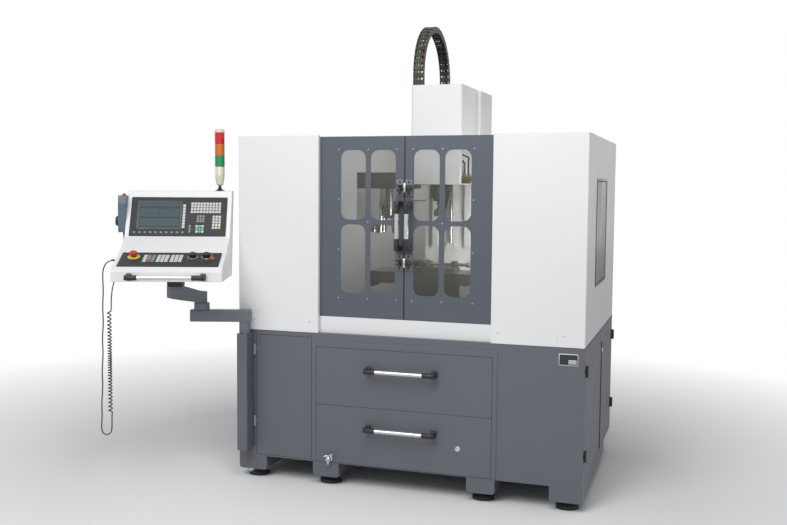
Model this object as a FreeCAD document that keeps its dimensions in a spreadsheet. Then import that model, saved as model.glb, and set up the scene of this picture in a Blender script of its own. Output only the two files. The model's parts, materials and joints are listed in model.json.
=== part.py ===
"""A small enclosed machining centre with a swivelling control pendant, in millimetres, +Z up.

Lengths below are in the machine's own frame: X to the right from its centre plane, Y to the
rear from the face of its front panels, Z up from the floor. The part's origin is on the floor
under the middle of the whole outline, pendant and all.
"""
import FreeCAD, Part
import math
import os
import Sketcher
import types

# ---------------------------------------------------------------- driving sizes

# Heights that the code reads from `up` are counted from the cabinet's top, all others from the floor.
SIZES = {
    # where the machine stands about the part's origin
    "centre_x": 280.3,
    "front_y": -341.0,
    # whole machine
    "machine_width": 1750.0,
    "machine_depth": 1261.0,
    "base_height": 770.0,
    "hood_height": 979.0,
    "slide_clearance": 0.3,
    "pin_clearance": 0.05,
    # floor cabinet
    "cabinet_setback": 3.0,
    "cabinet_bottom": 116.0,
    "cabinet_wall": 5.0,
    "deck_thickness": 15.0,
    "face_frame_depth": 22.5,
    "bay_half_width": 453.0,
    "leg_height": 72.0,
    "leg_depth": 937.0,
    "outer_leg_width": 153.0,
    "inner_leg_width": 138.0,
    "inner_leg_outside": 465.0,
    "leg_corner": 15.0,
    "foot_radius": 54.0,
    "foot_pad_height": 16.0,
    "foot_stud_radius": 10.0,
    "foot_setback": 82.0,
    # drawers
    "drawer_opening_half_width": 448.0,
    "drawer_opening_top": 703.0,
    "drawer_opening_bottom": 121.0,
    "drawer_split": 412.0,
    "drawer_gap": 2.0,
    "drawer_front_thickness": 20.0,
    "drawer_box_half_width": 430.0,
    "drawer_box_depth": 640.0,
    "drawer_box_height": 200.0,
    "drawer_wall": 2.0,
    "runner_height": 45.0,
    "surround_width": 22.0,
    "surround_relief": 4.0,
    # bar handles
    "handle_reach": 50.0,
    "handle_tube_radius": 11.0,
    "handle_block_width": 26.0,
    "handle_block_height": 34.0,
    "handle_sleeve_radius": 12.5,
    "handle_sleeve_length": 36.0,
    "drawer_handle_length": 360.0,
    "door_handle_length": 242.0,
    "pendant_handle_length": 376.0,
    # locks
    "lock_radius": 14.0,
    "drawer_lock_x": 283.0,
    "drawer_lock_z": 249.0,
    "drain_x": -371.0,
    "drain_z": 141.0,
    "drain_radius": 11.0,
    # hinged doors of the cabinet
    "door_thickness": 20.0,
    "door_gap": 2.0,
    "front_door_left": -777.0,
    "front_door_right": -474.0,
    "front_door_bottom": 125.0,
    "front_door_top": 745.0,
    "side_door_front": 26.0,
    "side_door_seam": 701.0,
    "side_door_rear": 1236.0,
    "side_door_bottom": 130.0,
    "side_door_top": 700.0,
    "hinge_height": 54.0,
    "hinge_radius": 7.0,
    "hinge_pin_radius": 3.0,
    "hinge_stand_off": 0.6,
    "hinge_leaf": 4.0,
    "hinge_leaf_width": 16.0,
    "front_hinge_low": 271.0,
    "front_hinge_high": 642.0,
    "side_hinge_low": 240.0,
    "side_hinge_high": 635.0,
    # sheet hood
    "hood_gauge": 2.5,
    "hood_bend": 6.0,
    "door_opening_half_width": 437.0,
    "panel_return": 25.0,
    "rear_flange": 35.0,
    "top_lip": 25.0,
    "side_window_front": 327.0,
    "side_window_rear": 786.0,
    "side_window_bottom": 250.0,
    "side_window_top": 775.0,
    "side_window_corner": 15.0,
    "seal_width": 10.0,
    "seal_proud": 3.0,
    "pane_thickness": 5.0,
    "sill_top": 83.0,
    "sill_depth": 30.0,
    "sill_lip": 15.0,
    "beam_height": 44.0,
    # sliding doors
    "door_face": 27.3,
    "slide_door_top": 974.0,
    "slide_door_depth": 25.0,
    "slide_door_overlap": 18.0,
    "seam_half_gap": 1.0,
    "window_inner": 46.0,
    "window_middle_low": 173.0,
    "window_middle_high": 200.0,
    "window_outer": 328.0,
    "window_bottom": 205.0,
    "window_mid_low": 544.0,
    "window_mid_high": 568.0,
    "window_top": 907.0,
    "window_corner": 40.0,
    "pane_margin": 26.0,
    "door_handle_x": 24.0,
    "door_handle_bottom": 420.0,
    "latch_low": 364.0,
    "latch_high": 725.0,
    "latch_height": 78.0,
    "latch_width": 38.0,
    "latch_plate": 6.0,
    "tongue_radius": 7.0,
    "tongue_stand": 18.0,
    "tongue_reach": 20.0,
    "tongue_stub": 14.0,
    "lug_half_width": 11.0,
    "lug_half_height": 15.0,
    "lug_reach": 30.0,
    # bed, saddle, table and vise
    "spindle_x": 45.0,
    "spindle_y": 540.0,
    "table_y": 500.0,
    "bed_width": 380.0,
    "bed_front": 330.0,
    "bed_rear": 1100.0,
    "bed_height": 130.0,
    "bed_wall": 25.0,
    "dovetail_height": 24.0,
    "dovetail_top": 220.0,
    "dovetail_root": 190.0,
    "saddle_height": 119.5,
    "saddle_length": 290.0,
    "saddle_width": 240.0,
    "table_length": 700.0,
    "table_width": 250.0,
    "table_thickness": 60.0,
    "slot_width": 14.0,
    "slot_depth": 12.0,
    "slot_foot_width": 24.0,
    "slot_foot_height": 9.0,
    "slot_pitch": 63.0,
    "screw_radius": 10.0,
    "motor_side": 86.0,
    "motor_length": 110.0,
    "vise_length": 250.0,
    "vise_width": 126.0,
    "vise_base_height": 22.0,
    "vise_jaw_height": 33.0,
    "vise_jaw_thickness": 30.0,
    "vise_opening": 22.0,
    "vise_screw_radius": 8.0,
    "vise_screw_room": 2.0,
    "vise_screw_height": 15.0,
    "vise_bar_clearance": 4.0,
    # column, head, spindle
    "column_width": 306.0,
    "column_front": 770.0,
    "column_depth": 290.0,
    "column_top": 1251.0,
    "column_wall": 14.0,
    "rail_width": 30.0,
    "rail_height": 26.0,
    "rail_spacing": 180.0,
    "head_width": 270.0,
    "head_front": 420.0,
    "head_bottom": 743.0,
    "head_top": 1255.0,
    "head_corner": 12.0,
    "head_gauge": 3.0,
    "housing_radius": 58.0,
    "spindle_nose": 656.0,
    "spindle_radius": 35.0,
    "tool_radius": 42.5,
    "head_block_height": 190.0,
    "carriage_rise": 180.0,
    "z_nut_low": 100.0,
    "z_nut_height": 50.0,
    "z_screw_length": 840.0,
    "z_motor_drop": 120.0,
    "tool_bottom": 575.0,
    "spindle_motor_radius": 65.0,
    "spindle_motor_length": 220.0,
    # tool magazine
    "magazine_x": -239.0,
    "magazine_y": 520.0,
    "magazine_half_width": 136.0,
    "magazine_bottom": 555.0,
    "magazine_top": 804.0,
    "magazine_gauge": 3.0,
    "magazine_band": 84.0,
    "carousel_radius": 84.0,
    "carousel_pitch_radius": 86.0,
    "holder_flange_radius": 25.0,
    # cable chain
    "chain_x": -58.0,
    "chain_width": 54.0,
    "chain_height": 35.0,
    "chain_radius": 263.0,
    "chain_front": 446.0,
    "chain_leg": 58.0,
    "chain_plate": 4.0,
    "chain_links": 27.0,
    "chain_gap": 0.6,
    "chain_cable_radius": 7.0,
    # pendant arm
    "post_x": -821.0,
    "post_y": -42.0,
    "post_width": 58.0,
    "post_depth": 75.0,
    "post_bottom": 158.0,
    "post_top": 755.0,
    "post_wall": 5.0,
    "post_corner": 8.0,
    "pivot_radius": 15.0,
    "collar_radius": 28.0,
    "lower_arm_bottom": 814.0,
    "lower_arm_height": 60.0,
    "lower_arm_width": 56.0,
    "lower_arm_length": 217.0,
    "lower_arm_yaw": 199.0,
    "elbow_radius": 39.0,
    "upper_arm_bottom": 907.0,
    "upper_arm_height": 59.0,
    "upper_arm_rise": 34.0,
    "upper_arm_width": 54.0,
    "upper_arm_length": 141.5,
    "upper_arm_yaw": 235.6,
    "swivel_block": 74.0,
    # pendant, about its swivel
    "pendant_yaw": 20.0,
    "pendant_width": 524.0,
    "pendant_bottom": 1045.0,
    "pendant_lip": 47.0,
    "pendant_front": 245.0,
    "lower_panel_front": 220.0,
    "lower_panel_rise": 69.0,
    "lower_panel_tilt": 21.1,
    "lower_face_length": 155.0,
    "upper_panel_front": 40.0,
    "upper_panel_rise": 196.0,
    "upper_panel_tilt": 64.6,
    "upper_face_length": 257.0,
    "pendant_top_depth": 50.0,
    "pendant_back": 120.0,
    "pendant_wall": 2.5,
    "panel_width": 483.0,
    "panel_thickness": 3.0,
    "upper_panel_height": 220.0,
    "lower_panel_height": 155.0,
    "stop_radius": 20.0,
    "stop_ring_radius": 30.0,
    "stop_travel": 6.0,
    "knob_radius": 19.0,
    "knob_height": 20.0,
    "key_radius": 11.0,
    "tower_radius": 25.0,
    "tower_height": 315.0,
    "wheel_unit_width": 38.0,
    "wheel_unit_depth": 90.0,
    "wheel_unit_height": 185.0,
    "dial_radius": 26.5,
    "dial_height": 18.0,
    # the curly cord
    "cord_radius": 3.0,
    "coil_outer_radius": 11.5,
    "coil_turns": 32.0,
    "coil_bend": 10.0,
    "coil_x": -319.0,
    "coil_y": -52.0,
    "coil_bottom": 374.0,
    "coil_top": 881.0,
    "gland_radius": 9.0,
    "gland_length": 22.0,
}


class Size:
    """A length, angle or count: its value, and the words that give it in the sheet."""

    def __init__(self, value, words):
        self.value = value
        self.words = words

    def __add__(self, other):
        other = as_size(other)
        return Size(self.value + other.value, "(%s + %s)" % (self.words, other.words))

    def __sub__(self, other):
        other = as_size(other)
        return Size(self.value - other.value, "(%s - %s)" % (self.words, other.words))

    def __mul__(self, other):
        other = as_size(other)
        return Size(self.value * other.value, "(%s * %s)" % (self.words, other.words))

    def __truediv__(self, other):
        other = as_size(other)
        return Size(self.value / other.value, "(%s / %s)" % (self.words, other.words))

    def __neg__(self):
        return Size(-self.value, "(0 - %s)" % self.words)

    def __radd__(self, other):
        return as_size(other) + self

    def __rsub__(self, other):
        return as_size(other) - self

    def __rmul__(self, other):
        return as_size(other) * self


def as_size(number):
    """Gives a plain number the form of a Size."""
    if isinstance(number, Size):
        return number
    return Size(float(number), "(%.6f)" % number)


def cosine(angle):
    """Gives the cosine of a Size in degrees."""
    return Size(math.cos(math.radians(angle.value)), "cos(%s)" % angle.words)


def sine(angle):
    """Gives the sine of a Size in degrees."""
    return Size(math.sin(math.radians(angle.value)), "sin(%s)" % angle.words)


doc = FreeCAD.newDocument("machining_centre")
sheet = doc.addObject("Spreadsheet::Sheet", "sizes")
for row, (alias, number) in enumerate(SIZES.items(), start=1):
    sheet.set("A%d" % row, alias)
    sheet.set("B%d" % row, "%g" % number)
    sheet.setAlias("B%d" % row, alias)
doc.recompute()
d = types.SimpleNamespace(**{alias: Size(number, "sizes." + alias) for alias, number in SIZES.items()})


class AboveCabinet:
    """The sizes that are heights above the cabinet's top, given as heights above the floor."""

    def __getattr__(self, alias):
        return d.base_height + getattr(d, alias)


up = AboveCabinet()

# ---------------------------------------------------------------- building blocks

X_AXIS = FreeCAD.Vector(1, 0, 0)
Y_AXIS = FreeCAD.Vector(0, 1, 0)
Z_AXIS = FreeCAD.Vector(0, 0, 1)
ALONG = {
    "x": FreeCAD.Rotation(Y_AXIS, 90),
    "y": FreeCAD.Rotation(X_AXIS, -90),
    "z": FreeCAD.Rotation(),
    "-x": FreeCAD.Rotation(Y_AXIS, -90),
    "-y": FreeCAD.Rotation(X_AXIS, 90),
    "-z": FreeCAD.Rotation(X_AXIS, 180),
}
places = {}
sub_parts = []


def bind(item, prop, size):
    """Ties a property to the words of a Size."""
    item.setExpression(prop, as_size(size).words)


def put(item, place):
    """Ties an object's position to three sizes."""
    places[item.Name] = place
    for letter, size in zip("xyz", place):
        bind(item, "Placement.Base." + letter, size)
    return item


def turn(item, rotation):
    """Turns an object and leaves its position as it is."""
    item.Placement = FreeCAD.Placement(item.Placement.Base, rotation)
    return item


def box(name, lengths, place):
    """Makes a block from its three lengths and its lowest corner."""
    item = doc.addObject("Part::Box", name)
    for prop, size in zip(("Length", "Width", "Height"), lengths):
        bind(item, prop, size)
    return put(item, place)


def block_between(name, low, high):
    """Makes a block from its lowest and its highest corner."""
    lengths = [as_size(b) - a for a, b in zip(low, high)]
    return box(name, lengths, low)


def rod(name, radius, length, place, along="z"):
    """Makes a round bar that starts at a place and runs along an axis."""
    item = doc.addObject("Part::Cylinder", name)
    bind(item, "Radius", radius)
    bind(item, "Height", length)
    turn(item, ALONG[along])
    return put(item, place)


def fused(name, items):
    """Joins solids into one."""
    item = doc.addObject("Part::MultiFuse", name)
    item.Shapes = items
    return item


def cut(name, base, tool):
    """Takes one solid out of another."""
    item = doc.addObject("Part::Cut", name)
    item.Base = base
    item.Tool = tool
    return item


def group(name, items, place=(0, 0, 0), rotation=None):
    """Keeps solids apart in one object, turned about its own origin and then moved."""
    item = doc.addObject("Part::Compound", name)
    item.Links = items
    if rotation is not None:
        turn(item, rotation)
    return put(item, place)


def yawed(name, items, place, yaw):
    """Keeps solids apart in one object, turned about the upright by an angle of the sheet."""
    item = group(name, items, place, FreeCAD.Rotation(Z_AXIS, yaw.value))
    bind(item, "Placement.Rotation.Angle", yaw)
    return item


def tilted(name, items, place, tilt):
    """Keeps solids apart in one object, turned about X by an angle of the sheet."""
    item = group(name, items, place, FreeCAD.Rotation(X_AXIS, tilt.value))
    bind(item, "Placement.Rotation.Angle", tilt)
    return item


def shaped(name, shape):
    """Makes an object of a shape worked out in code."""
    item = doc.addObject("Part::Feature", name)
    item.Shape = shape
    return item


def sub_part(label, item):
    """Names a piece for its file and moves it from the machine's frame to the part's origin."""
    x, y, z = places.get(item.Name, (0, 0, 0))
    put(item, (as_size(x) + d.centre_x, as_size(y) + d.front_y, as_size(z)))
    item.Label = label
    sub_parts.append(item)
    return item


def body(name, place):
    """Starts a body at a place."""
    item = doc.addObject("PartDesign::Body", name)
    return put(item, place)


def sketch(owner, plane, lift=0.0):
    """Adds a sketch on one of a body's own planes, lifted along the plane's normal."""
    item = owner.newObject("Sketcher::SketchObject", owner.Name + "_sketch")
    role = plane + "_Plane"
    support = [feature for feature in owner.Origin.OriginFeatures if feature.Role == role][0]
    item.AttachmentSupport = [(support, "")]
    item.MapMode = "FlatFace"
    bind(item, "AttachmentOffset.Base.z", lift)
    return item


def fix(item, kind, *values):
    """Adds a dimension to a sketch and ties it to its size, the last value."""
    size = as_size(values[-1])
    index = item.addConstraint(Sketcher.Constraint(kind, *values[:-1], size.value))
    item.setExpression("Constraints[%d]" % index, size.words)


def corner_arc(before, corner, after, radius):
    """Works out a rounded corner: where it starts and ends, and its arc."""
    into = (before - corner).normalize()
    out = (after - corner).normalize()
    half = into.getAngle(out) / 2
    reach = radius / math.tan(half)
    start = corner + into * reach
    end = corner + out * reach
    centre = corner + (into + out).normalize() * (radius / math.sin(half))
    circle = Part.Circle(centre, Z_AXIS, radius)
    swings_left = (start - centre).cross(end - centre).z > 0
    first, last = (start, end) if swings_left else (end, start)
    arc = Part.ArcOfCircle(circle, circle.parameter(first), circle.parameter(last))
    return start, end, arc, swings_left


def outline(item, corners):
    """Draws a closed outline; each corner is (x, y), or (x, y, radius) where it is rounded."""
    points = [FreeCAD.Vector(as_size(c[0]).value, as_size(c[1]).value, 0) for c in corners]
    count = len(corners)
    starts, ends, arcs = list(points), list(points), {}
    for i, corner in enumerate(corners):
        if len(corner) == 3:
            radius = as_size(corner[2]).value
            after = points[(i + 1) % count]
            starts[i], ends[i], arc, left = corner_arc(points[i - 1], points[i], after, radius)
            arcs[i] = (item.addGeometry(arc), left)
    lines = []
    for i in range(count):
        lines.append(item.addGeometry(Part.LineSegment(ends[i], starts[(i + 1) % count])))
    for i, corner in enumerate(corners):
        before, here = lines[i - 1], lines[i]
        if i in arcs:
            arc, left = arcs[i]
            first, last = (1, 2) if left else (2, 1)
            mark = item.addGeometry(Part.Point(points[i]), True)
            item.addConstraint(Sketcher.Constraint("Tangent", before, 2, arc, first))
            item.addConstraint(Sketcher.Constraint("Tangent", arc, last, here, 1))
            item.addConstraint(Sketcher.Constraint("PointOnObject", mark, 1, before))
            item.addConstraint(Sketcher.Constraint("PointOnObject", mark, 1, here))
            fix(item, "Radius", arc, corner[2])
            fix(item, "DistanceX", mark, 1, corner[0])
            fix(item, "DistanceY", mark, 1, corner[1])
        else:
            item.addConstraint(Sketcher.Constraint("Coincident", before, 2, here, 1))
            fix(item, "DistanceX", here, 1, corner[0])
            fix(item, "DistanceY", here, 1, corner[1])


def rectangle(item, low, high, radius=None):
    """Draws an upright rectangle, with rounded corners where a radius is given."""
    corners = [low, (high[0], low[1]), high, (low[0], high[1])]
    if radius is not None:
        corners = [(x, y, radius) for x, y in corners]
    outline(item, corners)


def ring(item, x, y, radius):
    """Draws a circle."""
    centre = FreeCAD.Vector(as_size(x).value, as_size(y).value, 0)
    index = item.addGeometry(Part.Circle(centre, Z_AXIS, as_size(radius).value))
    fix(item, "Radius", index, radius)
    fix(item, "DistanceX", index, 3, x)
    fix(item, "DistanceY", index, 3, y)


def pad(owner, profile, length, reverse=False):
    """Raises a sketch into a solid."""
    item = owner.newObject("PartDesign::Pad", owner.Name + "_pad")
    item.Profile = profile
    bind(item, "Length", length)
    item.Reversed = reverse
    return item


def pocket(owner, profile, length, reverse=False):
    """Cuts a sketch into a solid."""
    item = owner.newObject("PartDesign::Pocket", owner.Name + "_pocket")
    item.Profile = profile
    bind(item, "Length", length)
    item.Reversed = reverse
    return item


def prism(name, plane, corners, length, place):
    """Makes a body by raising one outline: along +Z from XY, +Y from XZ, +X from YZ."""
    owner = body(name, place)
    profile = sketch(owner, plane)
    outline(profile, corners)
    pad(owner, profile, length, plane == "XZ")
    return owner


def turned(name, corners, place, along="z"):
    """Makes a turned body from the half section (radius, height) about its axis."""
    owner = body(name, place)
    turn(owner, ALONG[along])
    put(owner, place)
    profile = sketch(owner, "XZ")
    outline(profile, corners)
    item = owner.newObject("PartDesign::Revolution", name + "_turning")
    item.Profile = profile
    item.ReferenceAxis = (profile, ["V_Axis"])
    item.Angle = 360
    return owner


# ---------------------------------------------------------------- sizes shared by several pieces

HALF_WIDTH = d.machine_width / 2
HOOD_TOP = d.base_height + d.hood_height
CABINET_FRONT = d.cabinet_setback
INSIDE_BOTTOM = d.cabinet_bottom + d.cabinet_wall
INSIDE_TOP = d.base_height - d.deck_thickness
LEG_BOTTOM = d.cabinet_bottom - d.leg_height
HOOD_BASE = d.base_height + d.slide_clearance
DOOR_BOTTOM = up.sill_top + d.slide_clearance


def bar_handle(name, length, place, along="z"):
    """Makes a bar handle: two end blocks with their sleeves, and the tube between them.

    It is built upright on a face at Y = 0 that looks towards -Y, its lower end at the place.
    """
    half_block = d.handle_block_width / 2
    reach = -(d.handle_reach + d.handle_sleeve_radius)
    nose = d.handle_sleeve_radius
    solids = []
    for side, low in (("low", as_size(0)), ("high", length - d.handle_block_height)):
        corners = [
            (0, low),
            (reach, low, nose),
            (reach, low + d.handle_block_height, nose),
            (0, low + d.handle_block_height),
        ]
        ear = prism("%s_%s_ear" % (name, side), "YZ", corners, d.handle_block_width, (-half_block, 0, 0))
        start = low + d.handle_block_height - 2
        if side == "high":
            start = low - d.handle_sleeve_length
        sleeve = rod(
            "%s_%s_sleeve" % (name, side),
            d.handle_sleeve_radius,
            d.handle_sleeve_length + 2,
            (0, -d.handle_reach, start),
        )
        solids.append(fused("%s_%s_end" % (name, side), [ear, sleeve]))
    bare = d.handle_block_height + d.handle_sleeve_length
    tube = rod(
        name + "_tube", d.handle_tube_radius, length - 2 * bare, (0, -d.handle_reach, bare)
    )
    solids.append(tube)
    rotation = FreeCAD.Rotation(Y_AXIS, 90) if along == "x" else None
    return group(name, solids, place, rotation)


def hinge_halves(name, pin_place, leaf_side, leaf_turn):
    """Makes one block hinge about an upright pin: its fixed half and its swinging half.

    The leaves run along local X, the fixed one towards leaf_side, just behind the knuckles,
    and the whole is turned by leaf_turn degrees about the pin.
    """
    rotation = FreeCAD.Rotation(Z_AXIS, leaf_turn)
    third = d.hinge_height / 3
    gap = d.slide_clearance
    back = d.hinge_radius + d.hinge_stand_off
    halves = []
    for half in ("fixed", "swinging"):
        side = leaf_side if half == "fixed" else -leaf_side
        spans = [(0, third - gap), (2 * third + gap, 3 * third)]
        if half == "swinging":
            spans = [(third, 2 * third)]
        solids = []
        for index, (low, high) in enumerate(spans):
            label = "%s_%s_%d" % (name, half, index)
            length = as_size(high) - low
            knuckle = rod(label + "_knuckle", d.hinge_radius, length, (0, 0, low))
            start = 0 if side > 0 else -d.hinge_leaf_width
            leaf = box(
                label + "_leaf",
                (d.hinge_leaf_width, d.hinge_leaf, length),
                (start, back - d.hinge_leaf, low),
            )
            solids += [knuckle, leaf]
        joined = fused("%s_%s_body" % (name, half), solids)
        if half == "fixed":
            pin = rod(name + "_pin", d.hinge_pin_radius, d.hinge_height, (0, 0, 0))
            joined = fused("%s_pinned" % name, [joined, pin])
        else:
            hole = rod(name + "_bore", d.hinge_pin_radius + d.pin_clearance, d.hinge_height, (0, 0, 0))
            joined = cut("%s_bored" % name, joined, hole)
        halves.append(group("%s_%s" % (name, half), [joined], pin_place, rotation))
    return halves


# ---------------------------------------------------------------- floor cabinet

def make_base_cabinet(fixed_hinges):
    """The welded sheet cabinet: face frame, three bays, legs, drawer rails, fixed hinge halves."""
    depth = d.machine_depth - CABINET_FRONT
    owner = body("cabinet", (0, CABINET_FRONT, 0))
    shell = sketch(owner, "XZ")
    rectangle(shell, (-HALF_WIDTH, d.cabinet_bottom), (HALF_WIDTH, d.base_height))
    pad(owner, shell, depth, True)
    legs = sketch(owner, "XZ")
    inner = d.inner_leg_outside
    spans = [
        (-HALF_WIDTH, d.outer_leg_width - HALF_WIDTH),
        (-inner, d.inner_leg_width - inner),
        (inner - d.inner_leg_width, inner),
        (HALF_WIDTH - d.outer_leg_width, HALF_WIDTH),
    ]
    root = d.cabinet_bottom + 1
    for left, right in spans:
        bend = d.leg_corner
        outline(legs, [(left, LEG_BOTTOM, bend), (right, LEG_BOTTOM, bend), (right, root), (left, root)])
    pad(owner, legs, d.leg_depth, True)
    surround = sketch(owner, "XZ")
    half, top, wide = d.drawer_opening_half_width, d.drawer_opening_top, d.surround_width
    rectangle(surround, (-half - wide, d.drawer_opening_bottom), (half + wide, top + wide + 5))
    pad(owner, surround, d.surround_relief)
    bays = sketch(owner, "XZ", -d.face_frame_depth)
    inside = HALF_WIDTH - d.cabinet_wall
    partition = d.bay_half_width + d.cabinet_wall
    for left, right in ((-inside, -partition), (-d.bay_half_width, d.bay_half_width), (partition, inside)):
        rectangle(bays, (left, INSIDE_BOTTOM), (right, INSIDE_TOP))
    pocket(owner, bays, depth - d.face_frame_depth - d.cabinet_wall)
    openings = sketch(owner, "XZ", d.surround_relief)
    rectangle(openings, (-half, d.drawer_opening_bottom), (half, top))
    gap = d.door_gap
    rectangle(
        openings,
        (d.front_door_left - gap, d.front_door_bottom - gap),
        (d.front_door_right + gap, d.front_door_top + gap),
    )
    pocket(owner, openings, d.face_frame_depth + d.surround_relief)
    side = sketch(owner, "YZ", HALF_WIDTH)
    rectangle(
        side,
        (d.side_door_front - gap - CABINET_FRONT, d.side_door_bottom - gap),
        (d.side_door_rear + gap - CABINET_FRONT, d.side_door_top + gap),
    )
    pocket(owner, side, d.cabinet_wall)
    rails = []
    for name, z in (("upper", UPPER_RAIL), ("lower", LOWER_RAIL)):
        for side_name, sign in (("left", -1), ("right", 1)):
            inner_x = d.drawer_box_half_width + d.slide_clearance
            width = d.bay_half_width - inner_x
            x = inner_x if sign > 0 else -d.bay_half_width
            start = CABINET_FRONT + d.face_frame_depth
            rails.append(
                box(
                    "%s_%s_rail" % (name, side_name),
                    (width, d.drawer_box_depth - d.face_frame_depth, d.runner_height),
                    (x, start, z),
                )
            )
    sub_part("base_cabinet", fused("cabinet_welded", [owner] + rails + fixed_hinges))


UPPER_DRAWER_BOTTOM = d.drawer_split + d.drawer_gap / 2
LOWER_DRAWER_BOTTOM = d.drawer_opening_bottom + d.drawer_gap
UPPER_RAIL = UPPER_DRAWER_BOTTOM + 90
LOWER_RAIL = LOWER_DRAWER_BOTTOM + 90


def make_feet():
    """Eight levelling feet: a pad, a tapered hub and a stud up to the leg."""
    feet = []
    half = d.outer_leg_width / 2
    outer = HALF_WIDTH - half
    inner = d.inner_leg_outside - d.inner_leg_width / 2
    rear = CABINET_FRONT + d.leg_depth - d.foot_setback
    for row_name, y in (("front", d.foot_setback), ("rear", rear)):
        for index, x in enumerate((-outer, -inner, inner, outer)):
            corners = [
                (0, 0),
                (d.foot_radius, 0),
                (d.foot_radius, d.foot_pad_height),
                (d.foot_stud_radius, d.foot_pad_height + 10),
                (d.foot_stud_radius, LEG_BOTTOM),
                (0, LEG_BOTTOM),
            ]
            feet.append(turned("%s_foot_%d" % (row_name, index), corners, (x, y, 0)))
    sub_part("levelling_feet", group("feet", feet))


def make_drawer(name, bottom, top, with_drain):
    """A drawer: a folded front with its open box behind, on side rails; its handle beside it."""
    half = d.drawer_opening_half_width - d.drawer_gap
    face = CABINET_FRONT - d.surround_relief
    thick = d.drawer_front_thickness
    owner = body(name + "_pressing", (0, face, bottom))
    front = sketch(owner, "XZ")
    rectangle(front, (-half, 0), (half, top - bottom), 3)
    pad(owner, front, thick, True)
    box_half = d.drawer_box_half_width
    low = 20
    crate = sketch(owner, "XZ", -thick)
    rectangle(crate, (-box_half, low), (box_half, d.drawer_box_height + low))
    pad(owner, crate, d.drawer_box_depth, True)
    wall = d.drawer_wall
    inside = sketch(owner, "XY", d.drawer_box_height + low)
    rectangle(inside, (wall - box_half, thick), (box_half - wall, thick + d.drawer_box_depth - wall))
    pocket(owner, inside, d.drawer_box_height - wall)
    piece = owner
    if with_drain:
        corners = [(0, 0), (d.drain_radius, 0), (d.drain_radius, 8), (5, 8), (5, 20), (0, 20)]
        plug = turned("drain_plug", corners, (d.drain_x, face + 1, d.drain_z), "-y")
        place = (d.drawer_lock_x, face, d.drawer_lock_z)
        barrel = rod("lock_seat", d.lock_radius + d.pin_clearance, 15, place, "y")
        piece = fused(name + "_plugged", [cut(name + "_seated", owner, barrel), plug])
    sub_part(name, piece)
    middle = (top + bottom) / 2 + 45
    start = (-d.drawer_handle_length / 2, face, middle)
    handle = bar_handle(name + "_grip", d.drawer_handle_length, start, "x")
    sub_part(name + "_handle", handle)


def make_lock(name, place, along):
    """A quarter-turn lock: a barrel that turns in its seat, with a slotted face."""
    corners = [(0, 0), (d.lock_radius, 0), (d.lock_radius, 15), (d.lock_radius - 3, 18), (0, 18)]
    barrel = turned(name + "_barrel", corners, (0, 0, 0))
    slot = box(name + "_slot", (14, 2.4, 3), (-7, -1.2, 15.5))
    plug = cut(name + "_plug", barrel, slot)
    sub_part(name, group(name + "_set", [plug], place, ALONG[along]))


def make_cabinet_doors():
    """The hinged doors of the cabinet, each with its swinging hinge halves."""
    fixed = []
    thick = d.door_thickness
    back = d.hinge_radius + d.hinge_stand_off
    swinging = []
    for name, z in (("low", d.front_hinge_low), ("high", d.front_hinge_high)):
        pin = (d.front_door_left - d.hinge_radius, CABINET_FRONT - back, z)
        halves = hinge_halves("front_%s_hinge" % name, pin, -1, 0)
        fixed.append(halves[0])
        swinging.append(halves[1])
    corners = [
        (d.front_door_left, d.front_door_bottom),
        (d.front_door_right, d.front_door_bottom),
        (d.front_door_right, d.front_door_top),
        (d.front_door_left, d.front_door_top),
    ]
    leaf = folded_leaf("front_leaf", corners, thick, (0, CABINET_FRONT, 0), None)
    sub_part("cabinet_door", fused("cabinet_door_hung", [leaf] + swinging))
    gap = d.door_gap / 2
    doors = (
        ("front_side_door", d.side_door_front, d.side_door_seam - gap, "front"),
        ("rear_side_door", d.side_door_seam + gap, d.side_door_rear, "rear"),
    )
    quarter = FreeCAD.Rotation(Z_AXIS, 90)
    for name, front, rear, hung in doors:
        swinging = []
        pin_y = front - d.hinge_radius if hung == "front" else rear + d.hinge_radius
        side = -1 if hung == "front" else 1
        for level, z in (("low", d.side_hinge_low), ("high", d.side_hinge_high)):
            halves = hinge_halves("%s_%s_hinge" % (name, level), (HALF_WIDTH + back, pin_y, z), side, 90)
            fixed.append(halves[0])
            swinging.append(halves[1])
        bottom, top = d.side_door_bottom, d.side_door_top
        corners = [(front, bottom), (rear, bottom), (rear, top), (front, top)]
        leaf = folded_leaf(name + "_leaf", corners, thick, (HALF_WIDTH, 0, 0), quarter)
        piece = fused(name + "_hung", [leaf] + swinging)
        if hung == "rear":
            seat = rod(
                "side_lock_seat",
                d.lock_radius + d.pin_clearance,
                15,
                (HALF_WIDTH - 15, SIDE_LOCK_Y, SIDE_LOCK_Z),
                "x",
            )
            piece = cut(name + "_bored", piece, seat)
        sub_part(name, piece)
    return fixed


SIDE_LOCK_Y = d.side_door_seam + 45
SIDE_LOCK_Z = d.side_door_top - 55


def folded_leaf(name, corners, thick, place, rotation):
    """A door leaf folded from sheet: a face with four returns, open at the back."""
    owner = body(name, place)
    if rotation is not None:
        turn(owner, rotation)
    face = sketch(owner, "XZ")
    rounded = [(x, z, 3) for x, z in corners]
    outline(face, rounded)
    pad(owner, face, thick, True)
    (x0, z0), _, (x1, z1), _ = corners
    wall = d.drawer_wall
    tray = sketch(owner, "XZ", -thick)
    lock_post = 16
    rectangle(tray, (x0 + wall + lock_post, z0 + wall), (x1 - wall, z1 - wall))
    pocket(owner, tray, thick - wall, True)
    return owner


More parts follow.
